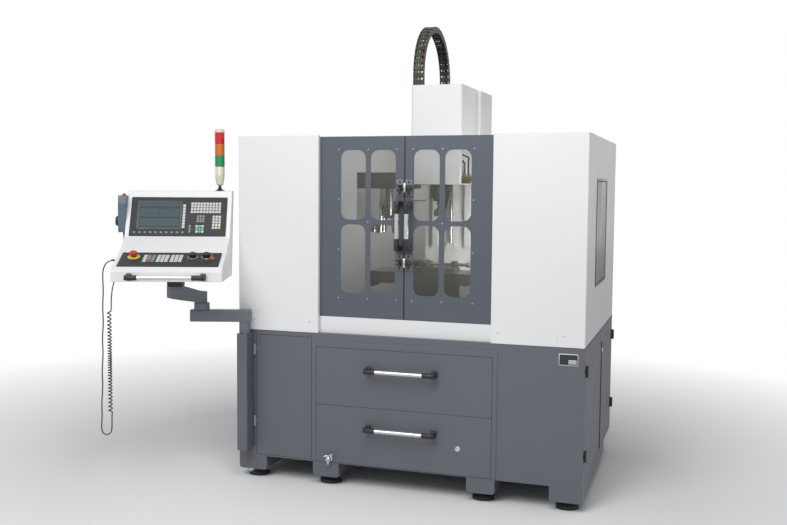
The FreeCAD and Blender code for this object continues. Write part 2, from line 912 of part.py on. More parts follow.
make_feet()
make_drawer("upper_drawer", UPPER_DRAWER_BOTTOM, d.drawer_opening_top - d.drawer_gap, False)
make_drawer("lower_drawer", LOWER_DRAWER_BOTTOM, d.drawer_split - d.drawer_gap / 2, True)
make_lock(
    "drawer_lock",
    (d.drawer_lock_x, CABINET_FRONT - d.surround_relief + 15, d.drawer_lock_z),
    "-y",
)
make_base_cabinet(make_cabinet_doors())
make_lock("side_door_lock", (HALF_WIDTH - 15, SIDE_LOCK_Y, SIDE_LOCK_Z), "x")


# ---------------------------------------------------------------- sheet hood

def make_side_hood(name, sign, window):
    """One side of the hood: front panel, return, side wall and rear flange bent from one sheet."""
    gauge, bend = d.hood_gauge, d.hood_bend
    owner = body(name + "_sheet", (0, 0, HOOD_BASE))
    plan = sketch(owner, "XY")
    side, rear = HALF_WIDTH, d.machine_depth
    jamb = d.door_opening_half_width
    corners = [
        (side, 0, bend),
        (jamb, 0),
        (jamb, d.panel_return),
        (jamb + gauge, d.panel_return),
        (jamb + gauge, gauge),
        (side - gauge, gauge, bend - gauge),
        (side - gauge, rear - gauge),
        (side - d.rear_flange, rear - gauge),
        (side - d.rear_flange, rear),
        (side, rear, bend),
    ]
    outline(plan, [(corner[0] * sign, *corner[1:]) for corner in corners])
    height = HOOD_TOP - HOOD_BASE
    pad(owner, plan, height)
    lip = sketch(owner, "XY", height)
    deep = d.top_lip
    corners = [
        (side - gauge / 2, gauge / 2),
        (jamb + gauge / 2, gauge / 2),
        (jamb + gauge / 2, deep),
        (side - deep, deep),
        (side - deep, rear - gauge / 2),
        (side - gauge / 2, rear - gauge / 2),
    ]
    outline(lip, [(x * sign, y) for x, y in corners])
    pad(owner, lip, gauge, True)
    if window:
        hole = sketch(owner, "YZ", side)
        rectangle(
            hole,
            (d.side_window_front, up.side_window_bottom - HOOD_BASE),
            (d.side_window_rear, up.side_window_top - HOOD_BASE),
            d.side_window_corner,
        )
        pocket(owner, hole, gauge * 2)
    sub_part(name, owner)


def make_side_window():
    """The side window: a rubber seal clipped in the wall, with its pane inside it."""
    low = (d.side_window_front, up.side_window_bottom)
    high = (d.side_window_rear, up.side_window_top)
    inset, radius = d.seal_width, d.side_window_corner
    depth = d.hood_gauge + 2 * d.seal_proud
    start = HALF_WIDTH - d.hood_gauge - d.seal_proud
    owner = body("side_seal", (start, 0, 0))
    edge = sketch(owner, "YZ")
    rectangle(edge, low, high, radius)
    rectangle(edge, tuple(a + inset for a in low), tuple(a - inset for a in high), radius - inset / 2)
    pad(owner, edge, depth)
    pane = body("side_pane", (start + d.seal_proud - 1, 0, 0))
    glass = sketch(pane, "YZ")
    rectangle(glass, tuple(a + inset for a in low), tuple(a - inset for a in high), radius - inset / 2)
    pad(pane, glass, d.pane_thickness)
    sub_part("side_window", group("side_window_set", [owner, pane]))


def make_rear_panel():
    """The rear wall of the hood, screwed to the side sheets' flanges."""
    gauge = d.hood_gauge
    half = HALF_WIDTH - gauge - d.slide_clearance
    low = (-half, d.machine_depth - 2 * gauge, HOOD_BASE)
    wall = block_between("rear_wall", low, (half, d.machine_depth - gauge, HOOD_TOP - gauge))
    stiffener = block_between(
        "rear_stiffener",
        (d.spindle_x - 15, d.machine_depth - 2 * gauge - 12, HOOD_BASE + 40),
        (d.spindle_x + 15, d.machine_depth - 2 * gauge + 1, HOOD_TOP - 60),
    )
    sub_part("enclosure_rear", fused("rear_stiffened", [wall, stiffener]))


def make_front_frame():
    """The white sill that the sliding doors run on, and the beam that guides their tops."""
    half = HALF_WIDTH - d.hood_gauge - d.slide_clearance
    gauge = d.hood_gauge
    face = d.door_face
    deep = d.sill_depth
    section = [
        (0, HOOD_BASE),
        (gauge, HOOD_BASE),
        (gauge, up.sill_top - gauge),
        (deep - gauge, up.sill_top - gauge),
        (deep - gauge, up.sill_top - d.sill_lip),
        (deep, up.sill_top - d.sill_lip),
        (deep, up.sill_top),
        (0, up.sill_top),
    ]
    sill = prism("sill", "YZ", section, half * 2, (-half, face, 0))
    beam_front = face + d.slide_door_depth + d.slide_clearance
    beam = block_between(
        "guide_beam",
        (-half, beam_front, up.slide_door_top - d.beam_height),
        (half, beam_front + deep, up.slide_door_top),
    )
    hollow = block_between(
        "guide_beam_bore",
        (-half - 1, beam_front + gauge, up.slide_door_top - d.beam_height + gauge),
        (half + 1, beam_front + deep - gauge, up.slide_door_top - gauge),
    )
    sub_part("front_frame", group("front_frame_set", [sill, cut("guide_beam_tube", beam, hollow)]))


def make_chip_tray():
    """The tray on the cabinet's deck, cut out round the bed, with turned-up edges."""
    gauge = d.hood_gauge
    half = HALF_WIDTH - gauge - 1
    front = d.door_face + d.sill_depth + 1
    rear = d.machine_depth - 2 * gauge - 14
    owner = body("tray_pressing", (0, 0, d.base_height))
    block = sketch(owner, "XY")
    rectangle(block, (-half, front), (half, rear))
    pad(owner, block, 30)
    inside = sketch(owner, "XY", 30)
    rectangle(inside, (gauge - half, front + gauge), (half - gauge, rear - gauge))
    pocket(owner, inside, 30 - gauge)
    bed = sketch(owner, "XY", gauge)
    fit = d.slide_clearance
    bed_half = d.bed_width / 2 + fit
    rectangle(bed, (d.spindle_x - bed_half, d.bed_front - fit), (d.spindle_x + bed_half, d.bed_rear + fit))
    pocket(owner, bed, gauge)
    sub_part("chip_tray", owner)


def make_sliding_door(name, sign):
    """A sliding door: a sheet tray with four windows, its pane, and its handle and latch plates."""
    gauge, deep = d.hood_gauge, d.slide_door_depth
    owner = body(name + "_tray", (0, d.door_face, 0))
    face = sketch(owner, "XZ")
    near = d.seam_half_gap
    far = d.door_opening_half_width + d.slide_door_overlap
    low, high = sorted_pair(near * sign, far * sign)
    rectangle(face, (low, DOOR_BOTTOM), (high, up.slide_door_top), 3)
    pad(owner, face, deep, True)
    inside = sketch(owner, "XZ", -deep)
    rectangle(inside, (low + gauge, DOOR_BOTTOM + gauge), (high - gauge, up.slide_door_top - gauge))
    pocket(owner, inside, deep - gauge, True)
    windows = sketch(owner, "XZ")
    rows = ((up.window_bottom, up.window_mid_low), (up.window_mid_high, up.window_top))
    columns = ((d.window_inner, d.window_middle_low), (d.window_middle_high, d.window_outer))
    for bottom, top in rows:
        for inner, outer in columns:
            left, right = sorted_pair(inner * sign, outer * sign)
            rectangle(windows, (left, bottom), (right, top), d.window_corner)
    pocket(owner, windows, deep)
    sub_part(name, owner)
    margin = d.pane_margin
    left, right = sorted_pair((near + 13) * sign, (far - margin) * sign)
    front = d.door_face + gauge
    pane = block_between(
        name + "_glazing",
        (left, front, up.window_bottom - margin),
        (right, front + d.pane_thickness, up.window_top + margin),
    )
    sub_part(name + "_pane", pane)
    grip_x = d.door_handle_x * sign
    grip = bar_handle(
        name + "_grip", d.door_handle_length, (grip_x, d.door_face, up.door_handle_bottom)
    )
    pieces = [grip]
    for level, z in (("low", up.latch_low), ("high", up.latch_high)):
        pieces += latch_half("%s_%s_latch" % (name, level), sign, z)
    sub_part(name + "_fittings", group(name + "_fittings_set", pieces))


def sorted_pair(first, second):
    """Gives two sizes with the lower one first."""
    return (first, second) if first.value < second.value else (second, first)


def latch_half(name, sign, z):
    """Half of the latch across the seam: a keeper plate with two cheeks, or a lug with its tongue."""
    inner = 4.0
    left, right = sorted_pair(as_size(inner * sign), (d.latch_width + inner) * sign)
    half = d.latch_height / 2
    face = d.door_face
    back = face - d.latch_plate
    plate = block_between(name + "_plate", (left, back, z - half), (right, face, z + half))
    middle = (left + right) / 2
    near, far = middle - d.lug_half_width, middle + d.lug_half_width
    front = face - d.lug_reach
    tall, radius = d.lug_half_height, d.tongue_radius
    if sign > 0:
        lug = block_between(name + "_lug", (near, front, z - tall), (far, back, z + tall))
        tongue_y = face - d.tongue_stand
        tongue = rod(name + "_tongue", radius, near + d.tongue_reach, (-d.tongue_reach, tongue_y, z), "x")
        stub = rod(name + "_stub", radius, d.tongue_stub, (far, tongue_y, z), "x")
        return [plate, lug, tongue, stub]
    gap = radius + d.slide_clearance
    return [
        plate,
        block_between(name + "_low_cheek", (near, front, z - tall), (far, back, z - gap)),
        block_between(name + "_high_cheek", (near, front, z + gap), (far, back, z + tall)),
    ]


make_side_hood("enclosure_left", -1, False)
make_side_hood("enclosure_right", 1, True)
make_side_window()
make_rear_panel()
make_front_frame()
make_chip_tray()
make_sliding_door("left_door", -1)
make_sliding_door("right_door", 1)


# ---------------------------------------------------------------- bed, saddle, table, vise

SADDLE_BOTTOM = d.base_height + d.bed_height + d.slide_clearance
SADDLE_TOP = SADDLE_BOTTOM + d.saddle_height
TABLE_BOTTOM = SADDLE_TOP - d.dovetail_height + d.slide_clearance
TABLE_TOP = TABLE_BOTTOM + d.table_thickness
Y_SCREW_Z = d.base_height + d.bed_height - 16
X_SCREW_Z = SADDLE_TOP - 22


def dovetail(middle, bottom, grow):
    """Gives the corners of a dovetail rail's section, or of its groove where grow is a clearance."""
    root, top = d.dovetail_root / 2 + grow, d.dovetail_top / 2 + grow
    rise = bottom + d.dovetail_height + grow
    return [
        (middle - root, bottom - 1),
        (middle + root, bottom - 1),
        (middle + root, bottom),
        (middle + top, rise),
        (middle - top, rise),
        (middle - root, bottom),
    ]


def make_bed():
    """The cast bed: a ribbed box with a dovetail rail on top and a foot for the column."""
    x, half = d.spindle_x, d.bed_width / 2
    bottom = d.base_height
    top = bottom + d.bed_height
    length = d.bed_rear - d.bed_front
    section = [
        (x - half, bottom),
        (x + half, bottom),
        (x + half, bottom + 50, 12),
        (x + half - 30, top, 12),
        (x - half + 30, top, 12),
        (x - half, bottom + 50, 12),
    ]
    block = prism("bed_block", "XZ", section, length, (0, d.bed_front, 0))
    wall = d.bed_wall
    cavities = []
    middle = d.column_front - 30
    for name, front, rear in (("front", d.bed_front, middle), ("rear", middle, d.bed_rear)):
        cavities.append(
            block_between(
                "bed_%s_cavity" % name,
                (x - half + 55, front + wall, bottom - 1),
                (x + half - 55, rear - wall, top - 45),
            )
        )
    rail_rear = d.column_front - 10
    rail = prism("bed_rail", "XZ", dovetail(x, top, 0), rail_rear - d.bed_front, (0, d.bed_front, 0))
    trough = block_between(
        "bed_trough",
        (x - 24, d.bed_front - 1, top - 40),
        (x + 24, rail_rear + 1, top + d.dovetail_height + 1),
    )
    cast = cut("bed_hollow", fused("bed_railed", [block, rail]), fused("bed_cuts", cavities + [trough]))
    ends = []
    for name, y in (("front", d.bed_front), ("rear", rail_rear - 25)):
        low = (x - 24, y, top - 41)
        holder = block_between("bed_%s_bearing" % name, low, (x + 24, y + 25, top + 8))
        bore = rod(
            "bed_%s_bore" % name, d.screw_radius + d.pin_clearance, 27, (x, y - 1, Y_SCREW_Z), "y"
        )
        ends.append(cut("bed_%s_bored" % name, holder, bore))
    sub_part("bed_casting", fused("bed_complete", [cast] + ends))


def make_saddle():
    """The saddle: grooved below for the bed's rail, a dovetail rail above, and both screws' nuts."""
    x, y = d.spindle_x, d.table_y
    half_x, half_y = d.saddle_length / 2, d.saddle_width / 2
    clear = d.slide_clearance
    rail_root = SADDLE_TOP - d.dovetail_height
    high = (x + half_x, y + half_y, rail_root)
    block = block_between("saddle_block", (x - half_x, y - half_y, SADDLE_BOTTOM), high)
    bed_top = d.base_height + d.bed_height
    section = dovetail(x, bed_top, clear)
    groove = prism("saddle_groove", "XZ", section, d.saddle_width + 2, (0, y - half_y - 1, 0))
    rail = prism("saddle_rail", "YZ", dovetail(y, rail_root, 0), d.saddle_length, (x - half_x, 0, 0))
    trough_bottom = X_SCREW_Z - 22
    slot = block_between(
        "saddle_trough", (x - half_x - 1, y - 24, trough_bottom), (x + half_x + 1, y + 24, SADDLE_TOP + 1)
    )
    cuts = fused("saddle_cuts", [groove, slot])
    casting = cut("saddle_cut", fused("saddle_raised", [block, rail]), cuts)
    groove_top = bed_top + d.dovetail_height + clear
    y_nut = block_between("y_nut", (x - 20, y - 25, Y_SCREW_Z - 18), (x + 20, y + 25, groove_top + 1))
    x_nut = block_between("x_nut", (x - 25, y - 25, trough_bottom - 1), (x + 25, y + 25, SADDLE_TOP - 4))
    running = d.screw_radius + clear
    y_bore = rod("y_nut_bore", running, 52, (x, y - 26, Y_SCREW_Z), "y")
    x_bore = rod("x_nut_bore", running, 52, (x - 26, y, X_SCREW_Z), "x")
    joined = fused("saddle_with_nuts", [casting, y_nut, x_nut])
    sub_part("saddle", cut("saddle_complete", joined, fused("nut_bores", [y_bore, x_bore])))


def make_table():
    """The table: three T-slots above, a dovetail groove below, and a bearing plate at each end."""
    x, y = d.spindle_x, d.table_y
    half_x, half_y = d.table_length / 2, d.table_width / 2
    block = block_between(
        "table_block", (x - half_x, y - half_y, TABLE_BOTTOM), (x + half_x, y + half_y, TABLE_TOP)
    )
    clear = d.slide_clearance
    rail_root = SADDLE_TOP - d.dovetail_height
    start = x - half_x - 1
    cuts = [prism("table_groove", "YZ", dovetail(y, rail_root, clear), d.table_length + 2, (start, 0, 0))]
    neck, foot = d.slot_width / 2, d.slot_foot_width / 2
    for index in (-1, 0, 1):
        middle = y + d.slot_pitch * index
        step = TABLE_TOP - d.slot_depth
        floor = step - d.slot_foot_height
        corners = [
            (middle - foot, floor),
            (middle + foot, floor),
            (middle + foot, step),
            (middle + neck, step),
            (middle + neck, TABLE_TOP + 1),
            (middle - neck, TABLE_TOP + 1),
            (middle - neck, step),
            (middle - foot, step),
        ]
        cuts.append(prism("table_slot_%d" % (index + 2), "YZ", corners, d.table_length + 2, (start, 0, 0)))
    slotted = cut("table_slotted", block, fused("table_cuts", cuts))
    plates = []
    for name, low in (("left", x - half_x - TABLE_PLATE), ("right", x + half_x)):
        plate = block_between(
            "table_%s_plate" % name,
            (low, y - 55, X_SCREW_Z - 30),
            (low + TABLE_PLATE, y + 55, TABLE_TOP - 24),
        )
        bore = rod(
            "table_%s_bore" % name,
            d.screw_radius + d.pin_clearance,
            TABLE_PLATE + 2,
            (low - 1, y, X_SCREW_Z),
            "x",
        )
        plates.append(cut("table_%s_bearing" % name, plate, bore))
    sub_part("work_table", fused("table_complete", [slotted] + plates))


TABLE_PLATE = as_size(16)


def servo_motor(name, place, along):
    """A servo motor: a square body with a rear cap, its flange at the place."""
    half = d.motor_side / 2
    corner = 12
    owner = body(name + "_housing", (0, 0, 0))
    front = sketch(owner, "XY")
    rectangle(front, (-half, -half), (half, half), corner)
    pad(owner, front, 14)
    barrel = sketch(owner, "XY", 14)
    rectangle(barrel, (6 - half, 6 - half), (half - 6, half - 6), corner)
    pad(owner, barrel, d.motor_length - 14)
    return group(name, [owner], place, ALONG[along])


def make_screws_and_motors():
    """The ball screws of the three axes, and the servo motors that turn them."""
    x, y = d.spindle_x, d.table_y
    half = d.table_length / 2 + TABLE_PLATE
    radius = d.screw_radius
    sub_part("x_screw", rod("x_ball_screw", radius, half * 2 - 1, (x - half, y, X_SCREW_Z), "x"))
    sub_part("x_motor", servo_motor("x_servo", (x + half, y, X_SCREW_Z), "x"))
    rail_rear = d.column_front - 10
    y_length = rail_rear - d.bed_front - 1
    sub_part("y_screw", rod("y_ball_screw", radius, y_length, (x, d.bed_front + 1, Y_SCREW_Z), "y"))
    z_length = Z_SCREW_TOP - Z_SCREW_BOTTOM
    sub_part("z_screw", rod("z_ball_screw", radius, z_length, (x, Z_SCREW_Y, Z_SCREW_BOTTOM)))
    motors = [
        servo_motor("y_servo", (x, d.bed_front, Y_SCREW_Z), "-y"),
        servo_motor("z_servo", (x, d.column_front + d.column_wall, up.column_top - d.z_motor_drop), "y"),
    ]
    sub_part("axis_motors", group("fixed_servos", motors))


Z_SCREW_Y = d.column_front - 22
Z_SCREW_TOP = up.column_top - 14
Z_SCREW_BOTTOM = Z_SCREW_TOP - d.z_screw_length


def make_vise():
    """The machine vise: its base with the fixed jaw and nut, the sliding jaw and the screw."""
    left = d.spindle_x - 152
    y, half = d.table_y, d.vise_width / 2
    base_top = TABLE_TOP + d.vise_base_height
    top = base_top + d.vise_jaw_height
    screw_z = base_top + d.vise_screw_height
    clear = d.slide_clearance
    right = left + d.vise_length
    base = block_between("vise_base", (left, y - half, TABLE_TOP), (right, y + half, base_top))
    fixed_jaw = block_between("vise_fixed_jaw", (left, y - half, base_top - 1), (left + 36, y + half, top))
    bridge_left = right - 26
    window = d.vise_screw_radius + d.vise_screw_room
    window_top = screw_z + window
    bridge = block_between(
        "vise_bridge", (bridge_left, y - 24, base_top - 1), (right, y + 24, window_top + 8)
    )
    opening = block_between(
        "vise_window", (bridge_left - 1, y - window, base_top), (right + 1, y + window, window_top)
    )
    cast = fused("vise_cast", [base, fixed_jaw, bridge])
    sub_part("vise_body", cut("vise_opened", cast, opening))
    jaw_left = left + 36 + d.vise_opening
    jaw_right = jaw_left + d.vise_jaw_thickness + 14
    jaw = block_between("vise_slide", (jaw_left, y - half, base_top + clear), (jaw_right, y + half, top))
    relief = block_between(
        "vise_step", (jaw_right - 14, y - half - 1, base_top + 26), (jaw_right + 1, y + half + 1, top + 1)
    )
    seat = rod(
        "vise_screw_seat", d.vise_screw_radius + d.pin_clearance, 24, (jaw_right - 22, y, screw_z), "x"
    )
    sub_part("vise_jaw", cut("vise_jaw_cut", jaw, fused("vise_jaw_cuts", [relief, seat])))
    end = right + 54
    shaft = rod("vise_shaft", d.vise_screw_radius, end - jaw_right + 21, (jaw_right - 21, y, screw_z), "x")
    hub = rod("vise_hub", 13, 20, (end - 2, y, screw_z), "x")
    reach = d.vise_base_height + d.vise_screw_height - d.vise_bar_clearance
    bar = rod("vise_bar", 4, 2 * reach, (end + 8, y - reach, screw_z), "y")
    sub_part("vise_screw", fused("vise_screw_set", [shaft, hub, bar]))


make_bed()
make_saddle()
make_table()
make_screws_and_motors()
make_vise()


# ---------------------------------------------------------------- column, head and spindle

def make_column():
    """The cast column: hollow, with two guide rails and the upper and lower screw bearings."""
    x, front = d.spindle_x, d.column_front
    half, wall = d.column_width / 2, d.column_wall
    foot = d.base_height + d.bed_height
    section = [
        (x - half, front),
        (x + half, front),
        (x + half, front + d.column_depth, 10),
        (x - half, front + d.column_depth, 10),
    ]
    outer = prism("column_block", "XY", section, up.column_top - foot, (0, 0, foot))
    cavity = block_between(
        "column_cavity",
        (x - half + wall, front + wall, foot + 30),
        (x + half - wall, front + d.column_depth - wall, up.column_top - wall),
    )
    hatch = block_between(
        "column_hatch",
        (x - 80, front + d.column_depth - wall - 1, foot + 120),
        (x + 80, front + d.column_depth + 1, up.column_top - 160),
    )
    hollow = cut("column_hollow", outer, fused("column_cuts", [cavity, hatch]))
    extras = []
    for index in (-1, 1):
        rail_x = x + d.rail_spacing / 2 * index
        extras.append(
            block_between(
                "column_rail_%d" % (index + 1),
                (rail_x - d.rail_width / 2, front - d.rail_height, Z_SCREW_BOTTOM),
                (rail_x + d.rail_width / 2, front + 1, Z_SCREW_TOP),
            )
        )
    for name, low in (("lower", Z_SCREW_BOTTOM), ("upper", Z_SCREW_TOP - 24)):
        holder = block_between(
            "column_%s_holder" % name, (x - 24, Z_SCREW_Y - 20, low), (x + 24, front + 1, low + 24)
        )
        bore = rod("column_%s_bore" % name, d.screw_radius + d.pin_clearance, 26, (x, Z_SCREW_Y, low - 1))
        extras.append(cut("column_%s_bearing" % name, holder, bore))
    sub_part("column", fused("column_complete", [hollow] + extras))


def make_head():
    """The head: its carriage on the rails, the spindle housing, the spindle and its motor."""
    x, y = d.spindle_x, d.spindle_y
    front, clear = d.column_front, d.slide_clearance
    carriage_front = front - 70
    bottom, top = HEAD_BLOCK_BOTTOM, HEAD_BLOCK_TOP
    carriage = block_between(
        "head_carriage", (x - 120, carriage_front, bottom + 40), (x + 120, front - 6, top + d.carriage_rise)
    )
    neck = block_between("head_neck", (x - 70, y, bottom + 20), (x + 70, carriage_front + 1, top - 20))
    barrel_low = up.spindle_nose + NOSE
    barrel = rod("head_barrel", d.housing_radius, top - barrel_low, (x, y, barrel_low))
    boss = rod("head_boss", d.housing_radius + 22, top - bottom, (x, y, bottom))
    cuts = []
    for index in (-1, 1):
        rail_x = x + d.rail_spacing / 2 * index
        half = d.rail_width / 2 + clear
        cuts.append(
            block_between(
                "head_groove_%d" % (index + 1),
                (rail_x - half, front - d.rail_height - clear, bottom),
                (rail_x + half, front, top + d.carriage_rise + 20),
            )
        )
    trough_top = top + d.carriage_rise + 20
    cuts.append(
        block_between("head_trough", (x - 30, Z_SCREW_Y - 24, bottom), (x + 30, front, trough_top))
    )
    cuts.append(
        rod("head_bore", d.spindle_radius + d.pin_clearance, top - up.spindle_nose, (x, y, up.spindle_nose))
    )
    cast = cut(
        "head_cut", fused("head_block", [carriage, neck, barrel, boss]), fused("head_cuts", cuts)
    )
    nut = block_between(
        "z_nut_block",
        (x - 31, Z_SCREW_Y - 25, bottom + d.z_nut_low),
        (x + 31, front - 8, bottom + d.z_nut_low + d.z_nut_height),
    )
    nut_low = bottom + d.z_nut_low - 1
    bore = rod("z_nut_bore", d.screw_radius + clear, d.z_nut_height + 2, (x, Z_SCREW_Y, nut_low))
    sub_part("head_casting", fused("head_complete", [cast, cut("z_nut", nut, bore)]))
    nose = d.spindle_radius + 9
    corners = [
        (0, up.spindle_nose),
        (nose, up.spindle_nose),
        (nose, up.spindle_nose + NOSE - clear),
        (d.spindle_radius, up.spindle_nose + NOSE - clear),
        (d.spindle_radius, top - clear),
        (0, top - clear),
    ]
    sub_part("spindle", turned("spindle_shaft", corners, (x, y, 0)))
    motor = d.spindle_motor_radius
    corners = [
        (0, top),
        (motor + 8, top),
        (motor + 8, top + 12),
        (motor, top + 12),
        (motor, top + d.spindle_motor_length, 10),
        (0, top + d.spindle_motor_length),
    ]
    sub_part("spindle_motor", turned("motor_shell", corners, (x, y, 0)))


NOSE = as_size(14)
HEAD_BLOCK_BOTTOM = up.head_bottom + d.head_gauge
HEAD_BLOCK_TOP = HEAD_BLOCK_BOTTOM + d.head_block_height


def make_head_cover():
    """The sheet cover of the head: open behind, with a round hole below for the housing."""
    gauge, x = d.head_gauge, d.spindle_x
    half = d.head_width / 2
    rear = d.column_front - 5
    bend = d.head_corner
    owner = body("head_shell", (0, 0, up.head_bottom))
    plan = sketch(owner, "XY")
    front = d.head_front
    outline(plan, [(x - half, front, bend), (x + half, front, bend), (x + half, rear), (x - half, rear)])
    pad(owner, plan, up.head_top - up.head_bottom)
    inside = sketch(owner, "XY", gauge)
    low, high = (x - half + gauge, front + gauge), (x + half - gauge, rear + 1)
    inner_bend = bend - gauge
    outline(inside, [(*low, inner_bend), (high[0], low[1], inner_bend), high, (low[0], high[1])])
    pocket(owner, inside, up.head_top - up.head_bottom - 2 * gauge, True)
    hole = sketch(owner, "XY")
    ring(hole, x, d.spindle_y, d.housing_radius + d.slide_clearance)
    pocket(owner, hole, gauge * 2, True)
    notch = sketch(owner, "XY")
    wide = half - gauge * 4
    rectangle(notch, (x - wide, Z_SCREW_Y - 32), (x + wide, rear + 1))
    pocket(owner, notch, up.head_top - up.head_bottom + 1, True)
    sub_part("head_cover", owner)


def make_tool():
    """The face mill in its holder: a flanged body over a cutter with six insert pockets."""
    nose, low = up.spindle_nose, up.tool_bottom
    cutter_top = low + 34
    corners = [
        (0, low + 4),
        (d.tool_radius - 12, low + 4),
        (d.tool_radius - 8, low),
        (d.tool_radius, low + 3),
        (d.tool_radius - 4, cutter_top),
        (20, cutter_top + 8),
        (20, nose - 22),
        (27, nose - 22),
        (27, nose),
        (0, nose),
    ]
    holder = turned("mill_body", corners, (d.spindle_x, d.spindle_y, 0))
    pockets = []
    for index in range(6):
        gullet = box("gullet_%d" % index, (20, 12, 24), (d.tool_radius - 12, -2, low - 1))
        rotation = FreeCAD.Rotation(Z_AXIS, 60 * index)
        pockets.append(group("gullet_%d_turned" % index, [gullet], (d.spindle_x, d.spindle_y, 0), rotation))
    sub_part("milling_tool", cut("mill_cut", holder, group("gullets", pockets)))


make_column()
make_head()
make_head_cover()
make_tool()


# ---------------------------------------------------------------- tool magazine

FORK_BOTTOM = up.magazine_bottom + 10
FORK_TOP = FORK_BOTTOM + 8


def make_magazine():
    """The magazine's housing: a canopy, a skirt on its left half, its bracket and the axle."""
    x, y, half = d.magazine_x, d.magazine_y, d.magazine_half_width
    gauge = d.magazine_gauge
    top = up.magazine_top
    canopy_low = top - d.magazine_band
    canopy = block_between("canopy", (x - half, y - half, canopy_low), (x + half, y + half, top))
    skirt = block_between("skirt", (x - half, y - half, up.magazine_bottom), (x - 12, y + half, top - 1))
    hollow = block_between(
        "canopy_hollow",
        (x - half + gauge, y - half + gauge, up.magazine_bottom - 1),
        (x + half - gauge, y + half - gauge, top - gauge),
    )
    shell = cut("magazine_shell", fused("magazine_block", [canopy, skirt]), hollow)
    column_side = d.spindle_x - d.column_width / 2
    bracket_rear = d.column_front + 120
    bracket = block_between(
        "magazine_bracket",
        (column_side - 30, y + half - 1, top - 64),
        (column_side, bracket_rear, top - 14),
    )
    axle = rod("magazine_axle", 9, top - FORK_TOP - 1, (x, y, FORK_TOP))
    sub_part("magazine_housing", fused("magazine_complete", [shell, bracket, axle]))


def make_carousel():
    """The carousel: a hub and a plate with six forks, and a tool holder hanging in each."""
    x, y, pitch = d.magazine_x, d.magazine_y, d.carousel_pitch_radius
    groove = d.holder_flange_radius - 3
    plate = rod("carousel_plate", d.carousel_radius, FORK_TOP - FORK_BOTTOM, (x, y, FORK_BOTTOM))
    hub = rod("carousel_hub", 22, up.magazine_top - d.magazine_gauge - 40 - FORK_BOTTOM, (x, y, FORK_BOTTOM))
    bore = rod("carousel_bore", 9 + d.pin_clearance, 300, (x, y, FORK_TOP - d.slide_clearance))
    cuts = [bore]
    holders = []
    flange = d.holder_flange_radius
    for index in range(6):
        angle = 60 * index + 12
        spot_x = x + pitch * math.cos(math.radians(angle))
        spot_y = y + pitch * math.sin(math.radians(angle))
        notch = groove + d.slide_clearance
        cuts.append(rod("fork_%d" % index, notch, 20, (spot_x, spot_y, FORK_BOTTOM - 6)))
        corners = [
            (0, FORK_BOTTOM - 80),
            (19, FORK_BOTTOM - 80),
            (flange, FORK_BOTTOM - 0.2),
            (groove, FORK_BOTTOM - 0.2),
            (groove, FORK_TOP + 0.2),
            (flange, FORK_TOP + 0.2),
            (8, FORK_TOP + 52),
            (0, FORK_TOP + 52),
        ]
        holders.append(turned("holder_%d" % index, corners, (spot_x, spot_y, 0)))
    forks = cut("carousel_forks", fused("carousel_block", [plate, hub]), fused("carousel_cuts", cuts))
    sub_part("carousel", group("carousel_set", [forks] + holders))


make_magazine()
make_carousel()


# ---------------------------------------------------------------- cable chain

def chain_point(travel):
    """Gives the point of the chain's middle line and its direction, as an angle from +Z to +Y."""
    front, radius = d.chain_front.value, d.chain_radius.value
    low, leg = up.head_top.value, d.chain_leg.value
    arc = math.pi * radius
    if travel < leg:
        return front, low + travel, 0.0
    if travel < leg + arc:
        angle = (travel - leg) / radius
        y = front + radius - radius * math.cos(angle)
        return y, low + leg + radius * math.sin(angle), angle
    return front + 2 * radius, low + leg - (travel - leg - arc), math.pi


def chain_plate(thickness, length, tall):
    """Makes one side plate of a link: a bar with its four corners cut back."""
    back = tall / 4
    half, edge = length / 2, tall / 2
    corners = [
        (-edge, back - half),
        (back - edge, -half),
        (edge - back, -half),
        (edge, back - half),
        (edge, half - back),
        (edge - back, half),
        (back - edge, half),
        (-edge, half - back),
    ]
    points = [FreeCAD.Vector(0, y, z) for y, z in corners]
    wire = Part.makePolygon(points + points[:1])
    return Part.Face(wire).extrude(FreeCAD.Vector(thickness, 0, 0))


